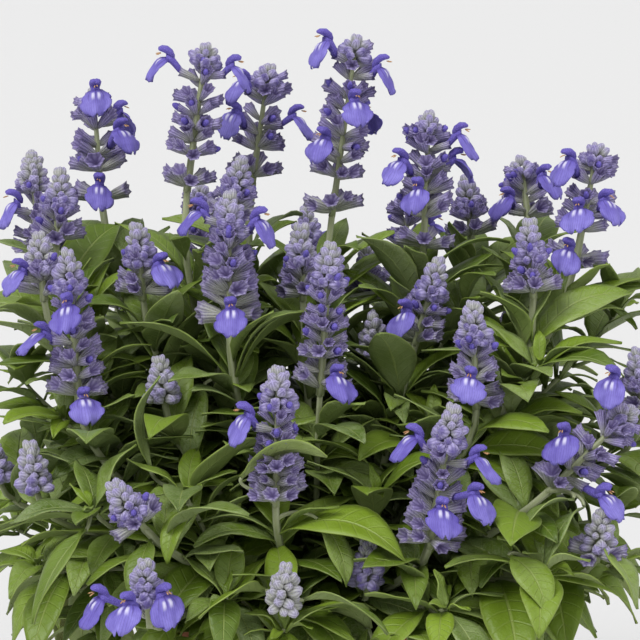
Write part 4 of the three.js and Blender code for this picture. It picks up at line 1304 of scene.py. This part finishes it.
class SAGE_OT_soil(bpy.types.Operator):
    """Make the potting mix with its crumbs, bark chips and white grains"""
    bl_idname = "sage.soil"
    bl_label = "Potting mix"

    def execute(self, context):
        looks = context.scene.sage_pot

        def inside(height):
            outer = between(POT["base"], POT["top"] - POT["proud"], height / POT["height"])
            return outer - POT["wall"] - SOIL["gap"]

        foot, top, crown = POT["floor"] + SOIL["gap"], SOIL["top"], SOIL["top"] + SOIL["crown"]
        rings = [(SOIL["plateau"] * share, crown) for share in np.linspace(1, 0, 22)]
        bm = spun([(0, foot), (inside(foot), foot), (inside(top), top)] + rings, 72)
        for vert in bm.verts:
            if vert.co.z > crown - CRUMB["skin"]:
                vert.co.z += noise.fractal(vert.co * 0.13, 0.7, 2.2, 4) * CRUMB["unevenness"]
        tints = bm.verts.layers.float.new("tint")
        for vert in bm.verts:
            vert[tints] = clamp(noise.noise(vert.co * 0.2) * 0.4)
        for face in bm.faces:
            face.smooth = True
        self.crumble(bm, inside(top) - CRUMB["off_wall"], crown)
        finished("potting_mix", bm, [soil_finish(looks), perlite_finish(looks)], ["soil"])
        return {"FINISHED"}

    def crumble(self, bm, radius, height):
        crumb = bmesh.new()
        bmesh.ops.create_icosphere(crumb, subdivisions=1, radius=1)
        template = Template(crumb, lambda co: (0, 0, 0))
        random = draws_from(CRUMB["seed"])
        for n in range(CRUMB["count"]):
            angle, off = random() * 2 * math.pi, radius * math.sqrt(random())
            is_grain = n % CRUMB["every_grain"] == 0
            across = (between(*CRUMB["grain"], random()) if is_grain
                      else between(*CRUMB["chip"], random() ** 2))
            long = 1 if is_grain else between(*CRUMB["stretch"], random())
            direction = unit(np.array([random() - 0.5, random() - 0.5, 0.25 + random() * 0.5]))
            root = np.array([off * math.cos(angle), off * math.sin(angle), height + across * CRUMB["raised"]])
            scale = (across * long, across, across * CRUMB["flat"])
            template.stand_in(bm, root, direction, scale, random(), random() * 6, int(is_grain))


class SAGE_OT_stalks(bpy.types.Operator):
    """Make the square stems, their side branches and the stalks of the spikes"""
    bl_idname = "sage.stalks"
    bl_label = "Stalks"

    def execute(self, context):
        tube = tube_template()
        bm = bmesh.new()
        stems, skirt, shoots, _ = plant()
        for branches in stems.values():
            for branch in branches:
                half = branch.width / 2
                foot = half * STALK["root_flare" if branch is branches[0] else "fork_flare"]
                tip = half * STALK["spike_end" if branch.spike else "leafy_end"]
                tube.swept(bm, branch.path, foot, tip, 0.5)
        for branch in skirt:
            half = branch.width / 2
            tube.swept(bm, branch.path, half, half * STALK["low_end"], 0.4)
        for path, foot, tip in shoots:
            tube.swept(bm, path, foot / 2, tip / 2, 0.3)
        for spike in spikes():
            axis = spike.axis
            tip = axis.at(axis.length - HEAD["over_stalk"] * STALK["head_share"])
            third = (tip - axis.foot) / 3
            path = Path(axis.foot - axis.along * STALK["lap"], axis.foot + third, tip - third, tip)
            tube.swept(bm, path, STALK["spike_foot"], STALK["spike_tip"], 0.7)
        nodes = [stem_node(number) for number in stems]
        finished("stalks", bm, [stalk_finish(context.scene.sage_leaf)], nodes)
        return {"FINISHED"}


class SAGE_OT_leaves(bpy.types.Operator):
    """Make the lance-shaped leaves, one piece for each side of the plant"""
    bl_idname = "sage.leaves"
    bl_label = "Leaves"

    def execute(self, context):
        looks = context.scene.sage_leaf
        fine, plain = blade_template(), blade_template(4, 8)
        finishes = [leaf_finish("leaf_upper_green", looks, False),
                    leaf_finish("leaf_under_grey_green", looks, True)]
        leaves = plant()[-1]
        for side, numbers in SIDES.items():
            bm = bmesh.new()
            for leaf in leaves:
                if leaf.owner in numbers:
                    blade = fine if leaf.is_fine else plain
                    places = leaf.places(blade.along, blade.across, BLADE["wave"], leaf.fold)
                    blade.copy_into(bm, places, leaf.tint)
            piece = finished(f"leaves_{side}", bm, finishes, [stem_node(n) for n in numbers])
            thicken(piece, looks.thickness, 1)
        return {"FINISHED"}


CUP_LOOKS = {"seed": 88, "ripening": 0.7, "tint_jitter": 0.4, "twist_jitter": 0.6, "bloom_off": 0.8,
             "bloom_size": (2.8, 2.8, 9.2), "bloom_tint": 0.6}


class SAGE_OT_cups(bpy.types.Operator):
    """Make the ribbed mealy cups of the spikes, one piece for each side of the plant"""
    bl_idname = "sage.cups"
    bl_label = "Calyx cups"

    def execute(self, context):
        material = cup_finish(context.scene.sage_flower)
        cup = cup_template()
        random = draws_from(CUP_LOOKS["seed"])
        for side, numbers in SIDES.items():
            bm, nodes = bmesh.new(), []
            for spike in spikes():
                if spike.number not in numbers or spike.is_bare:
                    continue
                nodes.append(f"flower_spike_{spike.axis.name}")
                for one in spike.cups:
                    tint = clamp(one.share * CUP_LOOKS["ripening"] + random() * CUP_LOOKS["tint_jitter"])
                    cup.stand_in(bm, one.root, one.direction, (one.rim, one.rim, one.length), tint,
                                 (random() - 0.5) * CUP_LOOKS["twist_jitter"])
                for height, direction, _ in spike.seats:
                    root = spike.axis.at(height) + direction * CUP_LOOKS["bloom_off"]
                    tint = random() * CUP_LOOKS["bloom_tint"]
                    cup.stand_in(bm, root, direction, CUP_LOOKS["bloom_size"], tint)
            finished(f"cups_{side}", bm, [material], nodes)
        return {"FINISHED"}


BUD = {"seed": 19, "bare_foot": 1, "young_foot": 1.5, "old_foot": 9, "under_tip": 1.6, "tier": 2.4,
       "fewest_tiers": 3, "young_count": 7, "old_count": 5, "tip_count": 4, "foot_tilt": 6, "tip_tilt": 78,
       "tilt_curve": 1.5, "tilt_jitter": 0.35, "turn_jitter": 0.5, "foot_length": 6.2, "tip_length": 4.6,
       "shortest": 0.8, "longest": 1.15, "slim": 0.3, "stout": 0.4, "foot_off": 1.9, "tip_off": 0.8,
       "ripe": 0.75, "ripe_foot": 1.25, "ripe_fall": 1.1, "ripe_jitter": 0.35}


class SAGE_OT_buds(bpy.types.Operator):
    """Make the woolly buds at the tips of the spikes"""
    bl_idname = "sage.buds"
    bl_label = "Buds"

    def execute(self, context):
        bud = bud_template()
        random = draws_from(BUD["seed"])
        bm, nodes = bmesh.new(), []
        for spike in spikes():
            if spike.is_bare:
                nodes.append(f"flower_spike_{spike.axis.name}")
            self.crown(bm, bud, spike, random)
        finished("buds", bm, [bud_finish(context.scene.sage_flower)], nodes)
        return {"FINISHED"}

    def crown(self, bm, bud, spike, random):
        """Tiers of buds that get fewer, shorter and more upright to the tip."""
        axis, age = spike.axis, "old" if spike.is_old else "young"
        ripe = RIPENESS.get(axis.name, BUD["ripe"])
        foot = BUD["bare_foot"] if spike.is_bare else spike.head_foot + BUD[f"{age}_foot"]
        top = axis.length - BUD["under_tip"]
        tiers = max(BUD["fewest_tiers"], round((top - foot) / BUD["tier"]))
        for tier in range(tiers + 1):
            share = tier / tiers
            count = round(between(BUD[f"{age}_count"], BUD["tip_count"], share))
            tilt = math.radians(between(BUD["foot_tilt"], BUD["tip_tilt"], share ** BUD["tilt_curve"]))
            for n in range(count):
                angle = (spike.turn + (n + tier % 2 / 2) / count * 2 * math.pi
                         + (random() - 0.5) * BUD["turn_jitter"])
                rising = tilt + (random() - 0.5) * BUD["tilt_jitter"]
                length = between(BUD["foot_length"], BUD["tip_length"], share)
                length *= between(BUD["shortest"], BUD["longest"], random())
                radius = length * between(BUD["slim"], BUD["stout"], random())
                off = between(BUD["foot_off"], BUD["tip_off"], share)
                root = axis.at(between(foot, top, share)) + axis.out(angle) * off
                ripeness = ripe * (BUD["ripe_foot"] - share * BUD["ripe_fall"])
                tint = clamp(ripeness + (random() - 0.5) * BUD["ripe_jitter"])
                bud.stand_in(bm, root, axis.out(angle, rising), (radius, radius, length), tint, random() * 6)


LIP = {"seed": 52, "lean": 0.3, "first_fall": (12, 44), "last_fall": (58, 88), "steps": 21, "middle_at": 0.28,
       "rows": (0, 0.07, 0.16, 0.28, 0.42, 0.55, 0.7, 0.82, 0.92, 1),
       "widths": (0.4, 0.5, 0.72, 0.9, 0.95, 1.0, 0.98, 0.9, 0.76, 0.5), "slim": 0.86, "broad": 1.08,
       "ear": 0.24, "ear_at": 0.37, "ear_span": 0.07, "notch": 0.12, "notch_span": 0.13, "corner": 0.2,
       "corner_curve": 2.2, "ripple": 0.025, "palate": 1.2, "palate_side": 0.24, "palate_span": 0.24,
       "palate_at": 0.26, "palate_length": 0.17, "fold": 0.8, "wave": 0.6, "crease": 0.4, "sag": 2.2,
       "edge_draw": 0.12}
HOOD = {"shortest": 0.85, "tallest": 1.1, "ahead": 4.2, "rise": 3.9, "behind": 2.4, "below": 0.8,
        "parting": 0.75, "foot_parting": 0.6, "tip_parting": 0.8, "first_rise": 4.2, "first_ahead": 0.6,
        "last_back": 2.4, "last_rise": 1.1, "foot": 1.9, "tip": 2.1, "flat": 0.75}
THROAT = {"mouth": 7.5, "first_share": 0.4, "last_share": 0.3, "into_lip": 0.6, "foot": 1.5, "tip": 2.2,
          "tint": 0.9, "flat": 0.8}
ANTHER = {"back": 1.3, "below": 1.5, "apart": 0.3, "splay": 0.2, "least_dip": 0.1, "dip_jitter": 0.4,
          "size": (0.26, 0.26, 1.2)}
CLOSED = {"lowest_share": 0.2, "seat": 0.62, "shortest": 1.7, "longest": 3.1, "width": 1.2, "height": 1.45}


def hump(value, middle, span):
    """1 at the middle, falling away smoothly to both sides."""
    return np.exp(-((value - middle) / span) ** 2)


class SAGE_OT_blooms(bpy.types.Operator):
    """Make the two-lipped blooms with their anthers, and the closed blooms in the cups"""
    bl_idname = "sage.blooms"
    bl_label = "Blooms"

    def execute(self, context):
        looks = context.scene.sage_flower
        self.half, self.length = looks.lip_width / MM / 2, looks.lip_length / MM
        self.lip, self.bead, self.tube = blade_template(12, 10), bead_template(8, 7), tube_template(8, 3)
        self.petals, self.hoods, self.anthers = bmesh.new(), bmesh.new(), bmesh.new()
        random = draws_from(LIP["seed"])
        for spike in spikes():
            for height, direction, middle in spike.seats:
                self.open_bloom(spike.axis.at(height), direction, middle, random)
            for cup in spike.cups:
                self.closed_bloom(cup, random)
        thicken(finished("petals", self.petals, [petal_finish(looks)]), looks.petal_thickness)
        finished("hoods", self.hoods, [hood_finish(looks)])
        finished("anthers", self.anthers, [anther_finish(looks)])
        return {"FINISHED"}

    def closed_bloom(self, cup, random):
        """The folded bloom that shows in the mouth of a filled cup."""
        if cup.is_filled and cup.share > CLOSED["lowest_share"]:
            root = cup.root + cup.direction * cup.length * CLOSED["seat"]
            long = between(CLOSED["shortest"], CLOSED["longest"], random())
            scale = (CLOSED["width"], CLOSED["height"], long)
            self.bead.stand_in(self.hoods, root, cup.direction, scale, random())

    def open_bloom(self, foot, direction, middle, random):
        """One bloom on the cup that stands at the foot, with its throat just above a given middle."""
        out = unit((middle - foot) * (1, 1, 0))
        throat, side = self.lay_lip(middle, out, random)
        tip = self.lay_hood(throat, out, side, random)
        mouth = foot + direction * THROAT["mouth"]
        gap = np.linalg.norm(throat - mouth)
        path = Path(mouth, mouth + direction * gap * THROAT["first_share"],
                    throat - out * gap * THROAT["last_share"], throat + out * THROAT["into_lip"])
        self.tube.swept(self.hoods, path, THROAT["foot"], THROAT["tip"], THROAT["tint"], THROAT["flat"])
        for sign in (-1, 1):
            place = tip - out * ANTHER["back"] - UP * ANTHER["below"] + side * ANTHER["apart"] * sign
            dip = ANTHER["least_dip"] + ANTHER["dip_jitter"] * random()
            pointing = unit(out - UP * dip + side * sign * ANTHER["splay"])
            self.bead.stand_in(self.anthers, place, pointing, ANTHER["size"], random())

    def lay_lip(self, middle, out, random):
        """The lower lip, which falls away from the throat in a curve, with a palate, folds, eared sides and a
        notch. Gives the throat and the direction of the lip's width."""
        lean = between(-LIP["lean"], LIP["lean"], random())
        side = np.cross(out, UP) * math.cos(lean) + UP * math.sin(lean)
        first_fall = between(*LIP["first_fall"], random())
        last_fall = between(*LIP["last_fall"], random())
        falls = np.radians(np.linspace(first_fall, last_fall, LIP["steps"]))
        steps = np.linspace(0, 1, LIP["steps"])
        run = self.length / (LIP["steps"] - 1)
        ahead = np.concatenate([[0], np.cumsum(np.cos(falls[1:]))]) * run
        down = np.concatenate([[0], np.cumsum(np.sin(falls[1:]))]) * run

        def hanging(share):
            return np.outer(np.interp(share, steps, ahead), out) - np.outer(np.interp(share, steps, down), UP)

        throat = middle - hanging(LIP["middle_at"])[0]
        u, t = self.lip.across, self.lip.along
        fall = np.interp(t, steps, falls)
        normal = np.outer(np.sin(fall), out) + np.outer(np.cos(fall), UP)
        ear, phase = random() * LIP["ear"], random() * 6
        width = self.half * between(LIP["slim"], LIP["broad"], random())
        width = width * np.interp(t, LIP["rows"], LIP["widths"])
        width = width * (1 - ear * hump(t, LIP["ear_at"], LIP["ear_span"]))
        notch = LIP["notch"] * hump(u, 0, LIP["notch_span"]) * t ** 4
        reach = t * (1 - LIP["corner"] * np.abs(u) ** LIP["corner_curve"] * t) - notch
        reach = reach - LIP["ripple"] * np.sin(u * 12 + phase) * t ** 3
        palate = LIP["palate"] * hump(np.abs(u), LIP["palate_side"], LIP["palate_span"])
        palate = palate * hump(t, LIP["palate_at"], LIP["palate_length"])
        folds = (LIP["fold"] * np.cos(u * 6.5) * t ** 1.5 + LIP["wave"] * np.sin(u * 4 + phase) * t
                 + LIP["crease"] * np.sin(u * 13 + phase * 2) * t * t)
        raised = palate + folds - LIP["sag"] * u * u * (0.4 + 0.6 * t)
        across = np.outer(u * width * (1 - LIP["edge_draw"] * u * u * t), side)
        self.lip.copy_into(self.petals, throat + hanging(reach) + across + normal * raised[:, None], random())
        return throat, side

    def lay_hood(self, throat, out, side, random):
        """The two lobes of the upper lip, side by side. Gives the hood's tip."""
        tall = between(HOOD["shortest"], HOOD["tallest"], random())
        tip = throat + out * HOOD["ahead"] * tall + UP * HOOD["rise"] * tall
        root = throat - out * HOOD["behind"] - UP * HOOD["below"]
        for sign in (-1, 1):
            lobe = side * sign * HOOD["parting"]
            start = root + lobe * HOOD["foot_parting"]
            start_handle = root + UP * HOOD["first_rise"] * tall + out * HOOD["first_ahead"] + lobe
            end_handle = tip - out * HOOD["last_back"] + UP * HOOD["last_rise"] + lobe
            path = Path(start, start_handle, end_handle, tip + lobe * HOOD["tip_parting"] - UP * random())
            self.bead.swept(self.hoods, path, HOOD["foot"], HOOD["tip"], random(), HOOD["flat"])
        return tip


STAGE = {"floor_radius": 40, "floor_sides": 96, "sensor": 36, "lamps": (
    {"name": "key", "place": (-0.6, -0.7, 1.2), "share": 1, "spread": 35},
    {"name": "fill", "place": (0.9, -0.6, 0.8), "share": 0.3, "spread": 60})}


class SAGE_OT_stage(bpy.types.Operator):
    """Make the plain floor, the soft light and the camera"""
    bl_idname = "sage.stage"
    bl_label = "Stage"

    def execute(self, context):
        looks = context.scene.sage_stage
        target = Vector((0, 0, looks.target_height))
        self.lay_floor(context, looks)
        self.light(context, looks, target)
        self.aim_camera(context, looks, target)
        context.scene.view_settings.view_transform = "Standard"
        return {"FINISHED"}

    def lay_floor(self, context, looks):
        bm = bmesh.new()
        bmesh.ops.create_circle(bm, cap_ends=True, segments=STAGE["floor_sides"],
                                radius=STAGE["floor_radius"])
        mesh = bpy.data.meshes.new("floor")
        bm.to_mesh(mesh)
        bm.free()
        finish = Finish("floor_plain")
        base = finish.mixed(finish.noise(3, 2) * 0.04, colour(looks.floor), colour(looks.floor_shade))
        mesh.materials.append(finish.shade(base, 0.9))
        floor = bpy.data.objects.new("floor", mesh)
        context.scene.collection.objects.link(floor)

    def light(self, context, looks, target):
        """An even white sky and two wide, soft lamps."""
        world = bpy.data.worlds.new("studio")
        world.use_nodes = True
        background = world.node_tree.nodes["Background"]
        background.inputs["Color"].default_value = (1, 1, 1, 1)
        background.inputs["Strength"].default_value = looks.sky
        context.scene.world = world
        for plan in STAGE["lamps"]:
            place = Vector(plan["place"])
            data = bpy.data.lights.new(plan["name"], "SUN")
            data.energy = looks.light * plan["share"]
            data.angle = math.radians(plan["spread"])
            lamp = bpy.data.objects.new(plan["name"], data)
            lamp.location = target + place
            lamp.rotation_euler = (-place).to_track_quat("-Z", "Y").to_euler()
            context.scene.collection.objects.link(lamp)

    def aim_camera(self, context, looks, target):
        data = bpy.data.cameras.new("camera")
        data.sensor_width = STAGE["sensor"]
        data.lens = data.sensor_width * looks.distance / looks.view_width
        camera = bpy.data.objects.new("camera", data)
        back = Vector((0, -math.cos(looks.pitch), math.sin(looks.pitch)))
        camera.location = target + back * looks.distance
        camera.rotation_euler = (math.pi / 2 - looks.pitch, 0, 0)
        context.scene.collection.objects.link(camera)
        context.scene.camera = camera


class SAGE_PT_panel(bpy.types.Panel):
    """Lists the pieces of the sage and their settings"""
    bl_label = "Potted sage"
    bl_idname = "SAGE_PT_panel"
    bl_space_type = "VIEW_3D"
    bl_region_type = "UI"
    bl_category = "Sage"

    def draw(self, context):
        for operator in OPERATORS:
            self.layout.operator(operator.bl_idname)
        for name, group in SETTINGS.items():
            box = self.layout.box()
            for setting in group.__annotations__:
                box.prop(getattr(context.scene, name), setting)


OPERATORS = (SAGE_OT_stage, SAGE_OT_pot, SAGE_OT_soil, SAGE_OT_stalks, SAGE_OT_leaves, SAGE_OT_cups,
             SAGE_OT_buds, SAGE_OT_blooms)
SETTINGS = {"sage_pot": SagePotLooks, "sage_leaf": SageLeafLooks, "sage_flower": SageFlowerLooks,
            "sage_stage": SageStageLooks}


def register():
    for name, group in SETTINGS.items():
        bpy.utils.register_class(group)
        setattr(bpy.types.Scene, name, PointerProperty(type=group))
    for operator in OPERATORS:
        bpy.utils.register_class(operator)
    bpy.utils.register_class(SAGE_PT_panel)


def unregister():
    bpy.utils.unregister_class(SAGE_PT_panel)
    for operator in reversed(OPERATORS):
        bpy.utils.unregister_class(operator)
    for name, group in SETTINGS.items():
        delattr(bpy.types.Scene, name)
        bpy.utils.unregister_class(group)


def main():
    register()
    bpy.ops.sage.stage()
    bpy.ops.sage.pot()
    bpy.ops.sage.soil()
    bpy.ops.sage.stalks()
    bpy.ops.sage.leaves()
    bpy.ops.sage.cups()
    bpy.ops.sage.buds()
    bpy.ops.sage.blooms()


if __name__ == "__main__":
    main()
